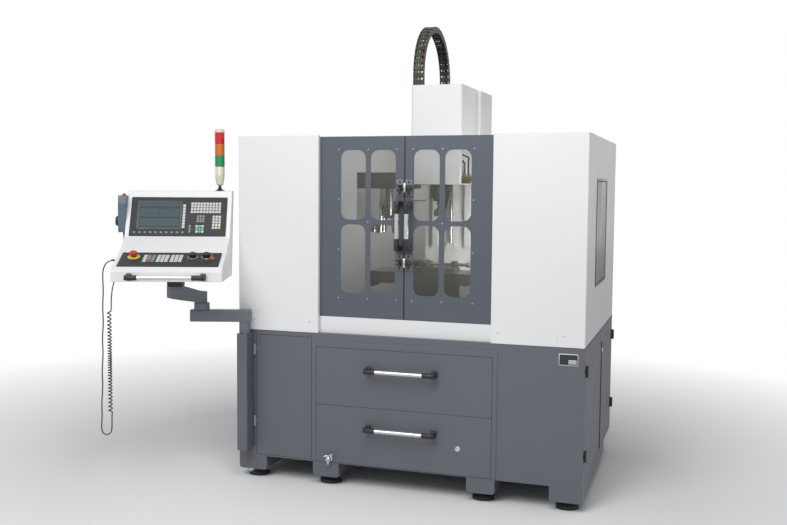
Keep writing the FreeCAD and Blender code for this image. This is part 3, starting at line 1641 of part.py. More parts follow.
def make_chain():
    """The energy chain in its loop over the head: links of two plates and two bars, and cables."""
    leg, radius = d.chain_leg.value, d.chain_radius.value
    last = leg + up.head_top.value - up.column_top.value
    total = leg + math.pi * radius + last
    count = int(d.chain_links.value)
    pitch = total / count
    length = pitch - d.chain_gap.value
    wide, tall, thick = d.chain_width.value, d.chain_height.value, d.chain_plate.value
    plate = chain_plate(thick, length, tall)
    left = plate.translated(FreeCAD.Vector(-wide / 2, 0, 0))
    right = plate.translated(FreeCAD.Vector(wide / 2 - thick, 0, 0))
    bar_length = length / 3
    bar_low = FreeCAD.Vector(thick / 2 - wide / 2, -tall / 2 + 1, -bar_length / 2)
    bar = Part.makeBox(wide - thick, 3, bar_length, bar_low)
    link = left.multiFuse([right, bar])
    solids = []
    middle_x = d.chain_x.value
    for index in range(count):
        y, z, angle = chain_point(pitch * (index + 0.5))
        placed = link.copy()
        placed.Placement = FreeCAD.Placement(
            FreeCAD.Vector(middle_x, y, z), FreeCAD.Rotation(X_AXIS, -math.degrees(angle))
        )
        solids.append(placed)
    section = d.chain_cable_radius.value
    front, low = d.chain_front.value, up.head_top.value
    top = low + leg
    for index in (-1, 0, 1):
        x = middle_x + index * (2 * section + 0.5)
        foot = FreeCAD.Vector(x, front, low + 0.2)
        first = FreeCAD.Vector(x, front, top)
        crown = FreeCAD.Vector(x, front + radius, top + radius)
        second = FreeCAD.Vector(x, front + 2 * radius, top)
        tail = FreeCAD.Vector(x, front + 2 * radius, up.column_top.value + 0.2)
        edges = [
            Part.LineSegment(foot, first).toShape(),
            Part.Arc(first, crown, second).toShape(),
            Part.LineSegment(second, tail).toShape(),
        ]
        solids.append(swept(edges, foot, Z_AXIS, section))
    sub_part("cable_chain", shaped("chain", Part.makeCompound(solids)))


def swept(edges, start, direction, radius, sides=6):
    """Sweeps a section with flat sides along edges."""
    across = direction.cross(X_AXIS)
    if across.Length < 0.1:
        across = direction.cross(Y_AXIS)
    across.normalize()
    other = direction.cross(across).normalize()
    corners = []
    for index in range(sides):
        angle = 2 * math.pi * index / sides
        offset = across * (radius * math.cos(angle)) + other * (radius * math.sin(angle))
        corners.append(start + offset)
    profile = Part.makePolygon(corners + corners[:1])
    return Part.Wire(edges).makePipeShell([profile], True, False)


make_chain()


# ---------------------------------------------------------------- pendant arm

LOWER_TOP = d.lower_arm_bottom + d.lower_arm_height
ELBOW_TOP = d.upper_arm_bottom
UPPER_TOP = d.upper_arm_bottom + d.upper_arm_height + d.upper_arm_rise
ELBOW_X = d.post_x + d.lower_arm_length * cosine(d.lower_arm_yaw)
ELBOW_Y = d.post_y + d.lower_arm_length * sine(d.lower_arm_yaw)
SWIVEL_X = ELBOW_X + d.upper_arm_length * cosine(d.upper_arm_yaw)
SWIVEL_Y = ELBOW_Y + d.upper_arm_length * sine(d.upper_arm_yaw)
SMALL_PIN = d.pivot_radius - 3


def make_post():
    """The arm's post: a square tube with a closed top, two mounting pads and the pivot pin."""
    x, y = d.post_x, d.post_y
    half, deep, wall = d.post_width / 2, d.post_depth / 2, d.post_wall
    owner = body("post_tube", (x, y, d.post_bottom))
    plan = sketch(owner, "XY")
    rectangle(plan, (-half, -deep), (half, deep), d.post_corner)
    height = d.post_top - d.post_bottom
    pad(owner, plan, height)
    bore = sketch(owner, "XY")
    rectangle(bore, (wall - half, wall - deep), (half - wall, deep - wall), d.post_corner - wall / 2)
    pocket(owner, bore, height - 10, True)
    pads = []
    for name, z in (("low", d.post_bottom + 44), ("high", d.post_top - 52)):
        pads.append(
            block_between(
                "post_%s_pad" % name, (x - half + 8, y + deep - 1, z), (x - half + 40, CABINET_FRONT, z + 34)
            )
        )
    pin_top = LOWER_TOP - 6
    pin = rod("post_pin", d.pivot_radius, pin_top - d.post_top + 1, (x, y, d.post_top - 1))
    sub_part("pendant_post", fused("post_complete", [owner, pin] + pads))


def make_lower_arm():
    """The lower arm: a rounded bar with its collar on the post's pin and the elbow's pin."""
    half, bottom = d.lower_arm_width / 2, d.lower_arm_bottom
    top = LOWER_TOP
    back, front = -half - 2, d.lower_arm_length + d.lower_arm_width
    bend = 6
    section = [(-half, bottom, bend), (half, bottom, bend), (half, top, bend), (-half, top, bend)]
    bar = prism("lower_bar", "YZ", section, front - back, (back, 0, 0))
    collar_low = d.post_top + d.slide_clearance
    collar = rod("lower_collar", d.collar_radius, bottom + 1 - collar_low, (0, 0, collar_low))
    pin = rod("elbow_pin", SMALL_PIN, ELBOW_TOP - 8 - top, (d.lower_arm_length, 0, top - 1))
    joined = fused("lower_arm_block", [bar, collar, pin])
    bore_depth = LOWER_TOP - 5.5 - collar_low
    bore = rod("lower_bore", d.pivot_radius + d.pin_clearance, bore_depth, (0, 0, collar_low - 0.1))
    piece = cut("lower_arm_bored", joined, bore)
    sub_part("lower_arm", yawed("lower_arm_set", [piece], (d.post_x, d.post_y, 0), d.lower_arm_yaw))


def make_upper_arm():
    """The upper arm: a drum on the elbow's pin, a rising bar, and the pin under the pendant."""
    half = d.upper_arm_width / 2
    low, length = d.upper_arm_bottom, d.upper_arm_length
    drum_low = LOWER_TOP + d.slide_clearance
    drum = rod("elbow_drum", d.elbow_radius, low + 2 - drum_low, (0, 0, drum_low))
    end = rod("elbow_end", half, d.upper_arm_height, (0, 0, low))
    reach = d.swivel_block / 2
    section = [
        (0, low),
        (length + reach, low + d.upper_arm_rise, 8),
        (length + reach, UPPER_TOP, 4),
        (length - reach, UPPER_TOP),
        (0, low + d.upper_arm_height),
    ]
    bar = prism("upper_bar", "XZ", section, half * 2, (0, -half, 0))
    pin = rod("swivel_pin", SMALL_PIN, 36, (length, 0, UPPER_TOP - 1))
    joined = fused("upper_arm_block", [drum, end, bar, pin])
    bore = rod("elbow_bore", SMALL_PIN + d.pin_clearance, ELBOW_TOP - 8 - LOWER_TOP, (0, 0, drum_low - 0.1))
    piece = cut("upper_arm_bored", joined, bore)
    sub_part("upper_arm", yawed("upper_arm_set", [piece], (ELBOW_X, ELBOW_Y, 0), d.upper_arm_yaw))


make_post()
make_lower_arm()
make_upper_arm()


# ---------------------------------------------------------------- pendant

PENDANT_PLACE = (SWIVEL_X, SWIVEL_Y, 0)
HALF_PENDANT = d.pendant_width / 2
PANEL_START_Z = d.pendant_bottom + d.lower_panel_rise
LOWER_END_Y = d.lower_face_length * cosine(d.lower_panel_tilt) - d.lower_panel_front
LOWER_END_Z = PANEL_START_Z + d.lower_face_length * sine(d.lower_panel_tilt)
UPPER_START_Z = d.pendant_bottom + d.upper_panel_rise
UPPER_END_Y = d.upper_panel_front + d.upper_face_length * cosine(d.upper_panel_tilt)
PENDANT_TOP = UPPER_START_Z + d.upper_face_length * sine(d.upper_panel_tilt)
STOP_X, STOP_UP = as_size(-179), as_size(106)
KNOB_UP = as_size(105)
FEED_KNOB_X, SPINDLE_KNOB_X = as_size(105), as_size(171)
KEY_X, KEY_UP = as_size(204), as_size(80)


def pendant_part(label, items):
    """Names a piece of the pendant and sets it on the swivel."""
    return sub_part(label, yawed(label + "_set", items, PENDANT_PLACE, d.pendant_yaw))


def on_lower_face(name, items, x, up):
    """Sets pieces on the pendant's lower sloping face: x to the right, up along the slope."""
    y = up * cosine(d.lower_panel_tilt) - d.lower_panel_front
    z = PANEL_START_Z + up * sine(d.lower_panel_tilt)
    return tilted(name, items, (x, y, z), d.lower_panel_tilt)


def inset(corners, wall):
    """Moves an outline's edges inwards by a wall, for the hollow inside it."""
    points = [FreeCAD.Vector(as_size(c[0]).value, as_size(c[1]).value, 0) for c in corners]
    moved = []
    count = len(points)
    for i in range(count):
        before, here, after = points[i - 1], points[i], points[(i + 1) % count]
        into = (here - before).normalize()
        out = (after - here).normalize()
        normal_in = Z_AXIS.cross(into)
        normal_out = Z_AXIS.cross(out)
        bisector = (normal_in + normal_out).normalize()
        reach = wall / bisector.dot(normal_in)
        moved.append((here.x + bisector.x * reach, here.y + bisector.y * reach))
    return moved


def make_pendant_housing():
    """The pendant's folded housing: two sloping faces, a hollow inside, and the swivel block."""
    bottom = d.pendant_bottom
    lip = bottom + d.pendant_lip
    back_top = UPPER_END_Y + d.pendant_top_depth
    corners = [
        (-d.pendant_front, bottom, 4),
        (d.pendant_back, bottom, 4),
        (back_top, PENDANT_TOP - 33, 4),
        (back_top, PENDANT_TOP, 8),
        (UPPER_END_Y, PENDANT_TOP, 8),
        (d.upper_panel_front, UPPER_START_Z),
        (LOWER_END_Y, LOWER_END_Z),
        (-d.lower_panel_front, PANEL_START_Z, 6),
        (-d.pendant_front, lip, 6),
    ]
    shell = prism("pendant_shell", "YZ", corners, d.pendant_width, (-HALF_PENDANT, 0, 0))
    wall = d.pendant_wall
    hollow = prism(
        "pendant_hollow",
        "YZ",
        inset(corners, wall.value),
        d.pendant_width - 2 * wall,
        (wall - HALF_PENDANT, 0, 0),
    )
    block_half = d.swivel_block / 2
    low = UPPER_TOP + d.slide_clearance
    block = block_between(
        "swivel_block", (-block_half, -block_half, low), (block_half, block_half, bottom + 1)
    )
    bore = rod("swivel_bore", SMALL_PIN + d.pin_clearance, 38, (0, 0, low - 1))
    stem_hole = rod("stop_hole", 12, 40, (0, 0, -30))
    hole = on_lower_face("stop_hole_placed", [stem_hole], STOP_X, STOP_UP)
    gland = turned(
        "cord_gland",
        [(0, -1), (d.gland_radius, -1), (d.gland_radius, 8), (5, d.gland_length), (0, d.gland_length)],
        (-HALF_PENDANT, GLAND_Y, GLAND_Z),
        "-x",
    )
    walls = cut("pendant_walls", shell, hollow)
    joined = fused("pendant_joined", [walls, block, gland])
    pendant_part("pendant_housing", [cut("pendant_cut", joined, fused("pendant_holes", [bore, hole]))])


GLAND_Y = as_size(-70)
GLAND_Z = d.pendant_bottom + 88


def key_block(name, columns, rows, pitch, place):
    """Makes a block of raised keys as one plate with grooves between its rows and columns."""
    cap = pitch - 2.5
    keys = []
    for column in range(columns):
        for row_index in range(rows):
            x, y = place[0] + column * pitch, place[1] + row_index * pitch
            key_name = "%s_%d_%d" % (name, column, row_index)
            keys.append(box(key_name, (cap, cap, 2), (x, y, d.panel_thickness - 1)))
    return keys


def make_operator_panel():
    """The upper panel: a screen behind its bezel, soft keys, and the lettering and number keys."""
    half, tall, thick = d.panel_width / 2, d.upper_panel_height, d.panel_thickness
    owner = body("operator_plate", (0, 0, 0))
    face = sketch(owner, "XY")
    rectangle(face, (-half, 0), (half, tall), 5)
    pad(owner, face, thick)
    screen = sketch(owner, "XY", thick)
    rectangle(screen, (-188, 56), (19, 192))
    pocket(owner, screen, 1)
    keys = key_block("letter_key", 10, 4, 15.3, (60, 132))
    keys += key_block("number_key", 3, 5, 15.0, (171, 46))
    keys += key_block("edit_key", 3, 3, 14.0, (92, 82))
    keys += key_block("arrow_key", 3, 3, 14.5, (89, 27))
    keys += key_block("soft_key", 1, 8, 17.5, (30, 47))
    for index in range(10):
        keys.append(box("menu_key_%d" % index, (13, 9, 2), (-216 + 26.8 * index, 16, thick - 1)))
    slope = as_size(14)
    y = d.upper_panel_front + slope * cosine(d.upper_panel_tilt)
    z = UPPER_START_Z + slope * sine(d.upper_panel_tilt)
    plate = fused("operator_keys", [owner] + keys)
    placed = tilted("operator_panel_placed", [plate], (0, y, z), d.upper_panel_tilt)
    pendant_part("operator_panel", [placed])


def make_machine_panel():
    """The lower panel: bores for the stop button and the knobs, and three blocks of keys."""
    half, tall, thick = d.panel_width / 2, d.lower_panel_height, d.panel_thickness
    owner = body("machine_plate", (0, 0, 0))
    face = sketch(owner, "XY")
    rectangle(face, (-half, 0), (half, tall), 5)
    pad(owner, face, thick)
    stop_ring = rod("stop_ring", d.stop_ring_radius, thick + 1.5, (STOP_X, STOP_UP, 0))
    keys = key_block("jog_key", 3, 4, 20, (-128, 53))
    keys += key_block("axis_key", 3, 4, 20, (-64, 53))
    keys += key_block("mode_key", 3, 4, 20, (3, 53))
    joined = fused("machine_plate_keys", [owner, stop_ring] + keys)
    clear = d.slide_clearance
    bores = [
        rod("stop_bore", STOP_STEM + clear, 30, (STOP_X, STOP_UP, -10)),
        rod("feed_bore", KNOB_STEM + d.pin_clearance, 30, (FEED_KNOB_X, KNOB_UP, -10)),
        rod("spindle_bore", KNOB_STEM + d.pin_clearance, 30, (SPINDLE_KNOB_X, KNOB_UP, -10)),
        rod("key_bore", KEY_STEM + d.pin_clearance, 30, (KEY_X, KEY_UP, -10)),
    ]
    plate = cut("machine_plate_bored", joined, fused("machine_bores", bores))
    pendant_part("machine_panel", [on_lower_face("machine_panel_placed", [plate], 0, 0)])


STOP_STEM = d.stop_radius / 2
KNOB_STEM = as_size(4)
KEY_STEM = as_size(7)


def make_controls():
    """The stop button, the two override knobs and the key switch."""
    clear = d.slide_clearance
    face = d.panel_thickness
    rest = face + 1.5 + d.stop_travel + clear
    corners = [
        (0, -3),
        (STOP_STEM, -3),
        (STOP_STEM, rest),
        (d.stop_radius - 4, rest),
        (d.stop_radius, rest + 12),
        (d.stop_radius - 3, rest + 18),
        (0, rest + 18),
    ]
    button = turned("stop_mushroom", corners, (0, 0, 0))
    pendant_part("emergency_button", [on_lower_face("stop_placed", [button], STOP_X, STOP_UP)])
    for name, x in (("feed_knob", FEED_KNOB_X), ("spindle_knob", SPINDLE_KNOB_X)):
        low = face + clear
        corners = [
            (0, clear),
            (KNOB_STEM, clear),
            (KNOB_STEM, low),
            (d.knob_radius, low),
            (d.knob_radius - 2, low + d.knob_height),
            (0, low + d.knob_height),
        ]
        knob = turned(name + "_turning", corners, (0, 0, 0))
        pointer = box(name + "_pointer", (2, d.knob_radius - 5, 3), (-1, 2, low + d.knob_height - 1))
        piece = fused(name + "_marked", [knob, pointer])
        pendant_part(name, [on_lower_face(name + "_placed", [piece], x, KNOB_UP)])
    low = face + clear
    corners = [
        (0, clear),
        (KEY_STEM, clear),
        (KEY_STEM, low),
        (d.key_radius, low),
        (d.key_radius, low + 8),
        (0, low + 8),
    ]
    barrel = turned("key_barrel", corners, (0, 0, 0))
    blade = box("key_blade", (3, 18, 20), (-1.5, -9, low + 7))
    piece = fused("key_complete", [barrel, blade])
    pendant_part("key_switch", [on_lower_face("key_placed", [piece], KEY_X, KEY_UP)])


def make_tower():
    """The signal tower: a foot, a neck, a tapered base, three lenses and a cap."""
    radius = d.tower_radius
    foot_top = as_size(6)
    top = d.tower_height
    neck = radius * 0.3
    corners = [
        (0, 0),
        (radius, 0),
        (radius * 0.6, foot_top),
        (neck, foot_top + 10),
        (neck, 26),
        (radius * 0.72, 32),
        (radius, 72),
        (radius, top - 6),
        (radius - 5, top),
        (0, top),
    ]
    spot_y = UPPER_END_Y + d.pendant_top_depth / 2
    pendant_part("signal_tower", [turned("tower_stack", corners, (196, spot_y, PENDANT_TOP))])


def make_handwheel():
    """The hand-held wheel unit on the pendant's left side, and its dial on a pin."""
    wide, deep, tall = d.wheel_unit_width, d.wheel_unit_depth, d.wheel_unit_height
    low, front = WHEEL_Z, WHEEL_Y
    corners = [
        (front, low, 8),
        (front + deep - 10, low, 8),
        (front + deep - 10, low + 90),
        (front + deep, low + tall - 30, 8),
        (front + deep - 12, low + tall, 8),
        (front + 8, low + tall, 8),
        (front, low + tall - 40),
    ]
    left = -HALF_PENDANT - wide
    case = prism("wheel_case", "YZ", corners, wide, (left, 0, 0))
    middle = (left, DIAL_Y, DIAL_Z)
    pin = rod("dial_pin", 4, 13, (left + 1, DIAL_Y, DIAL_Z), "-x")
    button = rod("wheel_button", 9, 9, (left + wide / 2, front + deep - 34, low + tall - 1))
    pendant_part("handwheel_unit", [fused("wheel_unit", [case, pin, button])])
    clear = d.slide_clearance
    radius = d.dial_radius
    corners = [
        (4 + d.pin_clearance, clear),
        (radius, clear),
        (radius, 10),
        (radius - 4, d.dial_height),
        (0, d.dial_height),
        (0, 13),
        (4 + d.pin_clearance, 13),
    ]
    pendant_part("handwheel_dial", [turned("dial_turning", corners, middle, "-x")])


WHEEL_Y = as_size(70)
WHEEL_Z = d.pendant_bottom + 218
DIAL_Y = WHEEL_Y + 40
DIAL_Z = WHEEL_Z + 56


def make_pendant_handle():
    """The bar handle along the pendant's front lip."""
    length = d.pendant_handle_length
    middle = d.pendant_bottom + d.pendant_lip / 2
    place = (-length / 2, -d.pendant_front, middle)
    pendant_part("pendant_handle", [bar_handle("pendant_grip", length, place, "x")])


make_pendant_housing()
make_operator_panel()
make_machine_panel()
make_controls()
make_tower()
make_handwheel()
make_pendant_handle()


# ---------------------------------------------------------------- curly cord

COIL_RADIUS = d.coil_outer_radius - d.cord_radius
COIL_PITCH = (d.coil_top - d.coil_bottom) / d.coil_turns


def coil_slope():
    """Gives the rise of the curls over the level, in radians."""
    return math.atan2(COIL_PITCH.value, 2 * math.pi * COIL_RADIUS.value)


def coil_ends():
    """Gives the coil's lower and upper end points, where its tube runs straight up."""
    bend = d.coil_bend.value
    turn_by = math.pi / 2 - coil_slope()
    out = bend * (1 - math.cos(turn_by))
    rise = bend * math.sin(turn_by) + 2 * d.cord_radius.value
    x = d.coil_x.value + COIL_RADIUS.value
    low = FreeCAD.Vector(x, d.coil_y.value - out, d.coil_bottom.value - rise)
    high = FreeCAD.Vector(x, d.coil_y.value + out, d.coil_top.value + rise)
    return low, high


def rounded_route(points):
    """Joins points by straight runs with a tangent arc at each corner; gives edges, radii, length."""
    edges, radii = [], []
    here = points[0]
    length = 0.0
    for index in range(1, len(points) - 1):
        corner = points[index]
        into = corner - points[index - 1]
        out = points[index + 1] - corner
        half_turn = into.getAngle(out) / 2
        reach = 0.45 * min(into.Length, out.Length)
        radius = reach / math.tan(half_turn)
        into.normalize()
        out.normalize()
        start, end = corner - into * reach, corner + out * reach
        inwards = (out - into).normalize()
        middle = corner + inwards * (radius / math.cos(half_turn) - radius)
        edges.append(Part.LineSegment(here, start).toShape())
        edges.append(Part.Arc(start, middle, end).toShape())
        length += (start - here).Length + 2 * half_turn * radius
        radii.append(radius)
        here = end
    edges.append(Part.LineSegment(here, points[-1]).toShape())
    length += (points[-1] - here).Length
    return edges, radii, length


def free_cord(label, points):
    """One free stretch of the cord, as a six-sided tube along its route."""
    route = [FreeCAD.Vector(*point) for point in points]
    edges, radii, length = rounded_route(route)
    start = route[0]
    direction = (route[1] - start).normalize()
    tube = swept(edges, start, direction, d.cord_radius.value)
    section = 1.5 * math.sqrt(3) * d.cord_radius.value ** 2
    print("%s radii %s" % (label, " ".join("%.0f" % radius for radius in radii)))
    print("%s length %.1f volume ratio %.4f" % (label, length, tube.Volume / (section * length)))
    pendant_part(label, [shaped(label + "_tube", tube)])


def biarc(first, first_way, last, last_way):
    """Gives two arcs that join two points along the given directions."""
    span = last - first
    ways = first_way + last_way
    factor = 2 * (1 - first_way.dot(last_way))
    along = span.dot(ways)
    reach = (math.sqrt(along * along + factor * span.dot(span)) - along) / factor
    one, two = first + first_way * reach, last - last_way * reach
    joint = (one + two) / 2
    return [arc_between(first, one, joint), arc_between(joint, two, last)]


def arc_between(start, corner, end):
    """Gives the arc that touches both lines from a corner at equal reach."""
    into, out = corner - start, end - corner
    half_turn = into.getAngle(out) / 2
    radius = into.Length / math.tan(half_turn)
    inwards = (out.normalize() - into.normalize()).normalize()
    middle = corner + inwards * (radius / math.cos(half_turn) - radius)
    return Part.Arc(start, middle, end).toShape()


def coil_point(angle):
    """Gives the point and direction of the curls at an angle from their start."""
    radius, slope = COIL_RADIUS.value, coil_slope()
    x = d.coil_x.value + radius * math.cos(angle)
    y = d.coil_y.value + radius * math.sin(angle)
    z = d.coil_bottom.value + COIL_PITCH.value * angle / (2 * math.pi)
    way = FreeCAD.Vector(
        -math.sin(angle) * math.cos(slope), math.cos(angle) * math.cos(slope), math.sin(slope)
    )
    return FreeCAD.Vector(x, y, z), way


def make_coil():
    """The curls: one unbroken tube by formula, bent upright at both ends."""
    low, high = coil_ends()
    lead = FreeCAD.Vector(0, 0, 2 * d.cord_radius.value)
    steps = int(2 * d.coil_turns.value)
    stations = [coil_point(math.pi * index) for index in range(steps + 1)]
    edges = [Part.LineSegment(low, low + lead).toShape()]
    edges += biarc(low + lead, Z_AXIS, *stations[0])
    for before, after in zip(stations, stations[1:]):
        edges += biarc(*before, *after)
    edges += biarc(*stations[-1], high - lead, Z_AXIS)
    edges.append(Part.LineSegment(high - lead, high).toShape())
    tube = swept(edges, low, Z_AXIS, d.cord_radius.value, 4)
    length = sum(edge.Length for edge in edges)
    section = 2 * d.cord_radius.value ** 2
    least = COIL_PITCH.value
    for index in range(48, 97):
        span = coil_point(0)[0] - coil_point(math.pi / 36 * index)[0]
        least = min(least, span.Length)
    print("cord_coil length %.1f volume ratio %.4f" % (length, tube.Volume / (section * length)))
    print("cord_coil least gap between curls %.2f" % (least - 2 * d.cord_radius.value))
    pendant_part("cord_coil", [shaped("cord_coil_tube", tube)])


def make_cord():
    """The whole cord: the hanging lead, the curls and the tail up to the wheel unit."""
    low, high = coil_ends()
    gland_x = -HALF_PENDANT.value - d.gland_length.value
    y, z = GLAND_Y.value, GLAND_Z.value
    lead = [
        (gland_x, y, z),
        (-312, y, z),
        (-338, y + 1, z - 28),
        (-346, -67, 1060),
        (-342, -65, 985),
        (-349, -63, 905),
        (-345, -61, 825),
        (-353, -60, 745),
        (-349, -59, 665),
        (-357, -58, 585),
        (-353, -57, 505),
        (-361, -57, 425),
        (-359, -57, 360),
        (-362.4, -57, 318),
        (-362.4, -57, 280.2),
        (-347.2, -58, 265),
        (-327.2, -58, 265),
        (-312, -58.5, 280.2),
        (low.x, low.y, low.z - 36),
        (low.x, low.y, low.z),
    ]
    unit_x = -HALF_PENDANT.value - d.wheel_unit_width.value / 2
    unit_y, unit_z = WHEEL_Y.value + d.wheel_unit_depth.value / 2, WHEEL_Z.value
    tail = [
        (high.x, high.y, high.z),
        (high.x, high.y, high.z + 35),
        (-307, -38, 990),
        (-295, -18, 1045),
        (-284, 18, 1097),
        (-279, 56, 1147),
        (-278, 90, 1192),
        (unit_x, unit_y, unit_z - 33),
        (unit_x, unit_y, unit_z),
    ]
    free_cord("cord_lead", lead)
    make_coil()
    free_cord("cord_tail", tail)


make_cord()


# ---------------------------------------------------------------- checking and writing

doc.recompute()
for item in doc.Objects:
    for word in ("Invalid", "Error"):
        if word in item.State:
            raise RuntimeError("%s is %s" % (item.Name, word))
for item in sub_parts:
    if item.Shape.isNull() or not item.Shape.isValid():
        raise RuntimeError("%s has no sound shape" % item.Label)
os.makedirs("parts", exist_ok=True)
for item in sub_parts:
    item.Shape.exportStep("parts/%s.step" % item.Label)
print("%d sub-parts written" % len(sub_parts))
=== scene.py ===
"""Looks of a small enclosed vertical machining centre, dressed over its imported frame.

Every size in this file is in millimetres in the machine's own axes: X to the operator's right from
the middle of the hood, Y to the rear from the drawer fronts, Z up from the floor. The two matrices
MACHINE and PENDANT turn that into the frame's metres.
"""

import json
import logging
import math
from collections import defaultdict
from dataclasses import dataclass
from enum import Enum
from typing import Iterable, Iterator, Optional, Sequence

import bmesh
import bpy
from mathutils import Matrix, Vector


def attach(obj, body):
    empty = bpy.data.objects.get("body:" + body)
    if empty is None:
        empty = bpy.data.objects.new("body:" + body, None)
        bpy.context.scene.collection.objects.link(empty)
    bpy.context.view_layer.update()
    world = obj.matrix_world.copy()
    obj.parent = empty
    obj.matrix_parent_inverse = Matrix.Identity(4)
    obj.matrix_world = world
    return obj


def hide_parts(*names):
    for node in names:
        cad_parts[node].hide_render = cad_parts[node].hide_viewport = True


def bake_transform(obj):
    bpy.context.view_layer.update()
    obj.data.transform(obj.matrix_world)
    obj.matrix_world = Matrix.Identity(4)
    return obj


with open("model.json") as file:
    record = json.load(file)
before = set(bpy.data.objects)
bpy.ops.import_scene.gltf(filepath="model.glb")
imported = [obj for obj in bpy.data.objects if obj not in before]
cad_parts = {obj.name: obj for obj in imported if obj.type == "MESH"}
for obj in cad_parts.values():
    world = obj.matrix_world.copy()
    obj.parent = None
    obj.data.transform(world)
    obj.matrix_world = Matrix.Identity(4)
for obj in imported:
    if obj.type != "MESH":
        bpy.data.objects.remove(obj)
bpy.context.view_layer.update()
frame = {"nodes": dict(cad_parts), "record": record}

LOG = logging.getLogger("machining_centre")

Point = Sequence[float]
Colour = tuple[float, float, float, float]
Tree = bpy.types.NodeTree
Socket = bpy.types.NodeSocket
Piece = bpy.types.Object

# The machine's zero point in the frame, and the pendant's swivel axis with its rest turn.
MACHINE = Matrix.Translation((0.2803, -0.341, 0.0)) @ Matrix.Diagonal((0.001, 0.001, 0.001, 1.0))
SWIVEL = Vector((-1106.12, -229.40, 0.0))
PENDANT_YAW = math.radians(20.0)
PENDANT = MACHINE @ Matrix.Translation(SWIVEL) @ Matrix.Rotation(PENDANT_YAW, 4, "Z")
# Local x, y, z of a face that looks to the front, and of one that looks to the right.
FRONT = Matrix.Rotation(math.radians(90), 4, "X")
RIGHT = Matrix.Rotation(math.radians(90), 4, "Z") @ FRONT
UPRIGHT = Matrix.Identity(4)
# The angle past which an edge stays sharp.
CREASE = math.radians(32.0)


# ---------------------------------------------------------------- finishes


def linear(code: str, factor: float = 1.0) -> Colour:
    """Turns an sRGB hex code into a linear colour.

    Args:
        code: Six hex digits, with a leading #.
        factor: What its linear values are multiplied by, to make it lighter or darker.

    Returns:
        Red, green and blue, each kept at or under 1, and an alpha of 1.
    """
    parts = [int(code[start : start + 2], 16) / 255 for start in (1, 3, 5)]
    bent = [part / 12.92 if part <= 0.04045 else ((part + 0.055) / 1.055) ** 2.4 for part in parts]
    red, green, blue = (min(part * factor, 1.0) for part in bent)
    return red, green, blue, 1.0


def add_node(
    tree: Tree, kind: str, settings: Optional[dict] = None, links: Optional[dict] = None
) -> bpy.types.Node:
    """Adds a node with its settings and links.

    Args:
        tree: The material's node tree.
        kind: The node's type name after "ShaderNode".
        settings: Values by the name or number of an input, or by the name of a property.
        links: Sockets that feed an input, by its name or number.

    Returns:
        The new node.
    """
    node = tree.nodes.new("ShaderNode" + kind)
    for key, value in (settings or {}).items():
        if isinstance(key, int) or key in node.inputs:
            node.inputs[key].default_value = value
        else:
            setattr(node, key, value)
    for key, source in (links or {}).items():
        tree.links.new(source, node.inputs[key])
    return node


def per_metre(size_mm: float) -> float:
    """Gives the texture scale at which one feature is size_mm wide in Object coordinates."""
    return 1000.0 / size_mm


class Side(Enum):
    """Which side of a plane a second colour lies on, as the axis and the way along it."""

    ABOVE = ("Z", "GREATER_THAN")
    BELOW = ("Z", "LESS_THAN")
    RIGHT = ("X", "GREATER_THAN")
    FRONT = ("Y", "LESS_THAN")


@dataclass(frozen=True)
class Band:
    """A second colour of the same piece past a plane, such as the magazine's dark top.

    Attributes:
        limit: Where the second colour starts, in millimetres.
        colour: Its sRGB hex code.
        roughness: Its roughness.
        bare: Whether it is bare metal.
        side: The side of the plane that it lies on.
    """

    limit: float
    colour: str
    roughness: float
    bare: bool = False
    side: Side = Side.ABOVE

    def share(self, tree: Tree, place: Socket) -> Socket:
        """Gives 1 past the plane and 0 before it.

        Args:
            tree: The material's node tree.
            place: The Object coordinates.

        Returns:
            The share's socket.
        """
        axis, way = self.side.value
        limit = self.limit / 1000 + MACHINE.translation["XYZ".index(axis)]
        parts = add_node(tree, "SeparateXYZ", links={"Vector": place})
        past = {"operation": way, 1: limit}
        return add_node(tree, "Math", past, {0: parts.outputs[axis]}).outputs["Value"]


@dataclass(frozen=True)
class Finish:
    """What every finish shares: a name, a colour and a roughness."""

    name: str
    colour: str
    roughness: float

    def material(self) -> bpy.types.Material:
        """Makes the material once, and gives the same one after that."""
        found = bpy.data.materials.get(self.name)
        if found is not None:
            return found
        made = bpy.data.materials.new(self.name)
        made.use_nodes = True
        made.node_tree.nodes.clear()
        place = add_node(made.node_tree, "TexCoord").outputs["Object"]
        shader = self.shade(made.node_tree, place)
        add_node(made.node_tree, "OutputMaterial", links={"Surface": shader})
        return made

    def shade(self, tree: Tree, place: Socket) -> Socket:
        """Adds the nodes of the surface.

        Args:
            tree: The material's node tree.
            place: The Object coordinates.

        Returns:
            The shader's output.
        """
        raise NotImplementedError


class Cut(Enum):
    """Which way a grain runs, as its stretch along X, Y and Z."""

    EVEN = (1.0, 1.0, 1.0)
    GROUND = (0.04, 1.0, 1.0)
    DRAWN = (0.08, 1.0, 1.0)
    TURNED = (0.6, 0.6, 4.0)


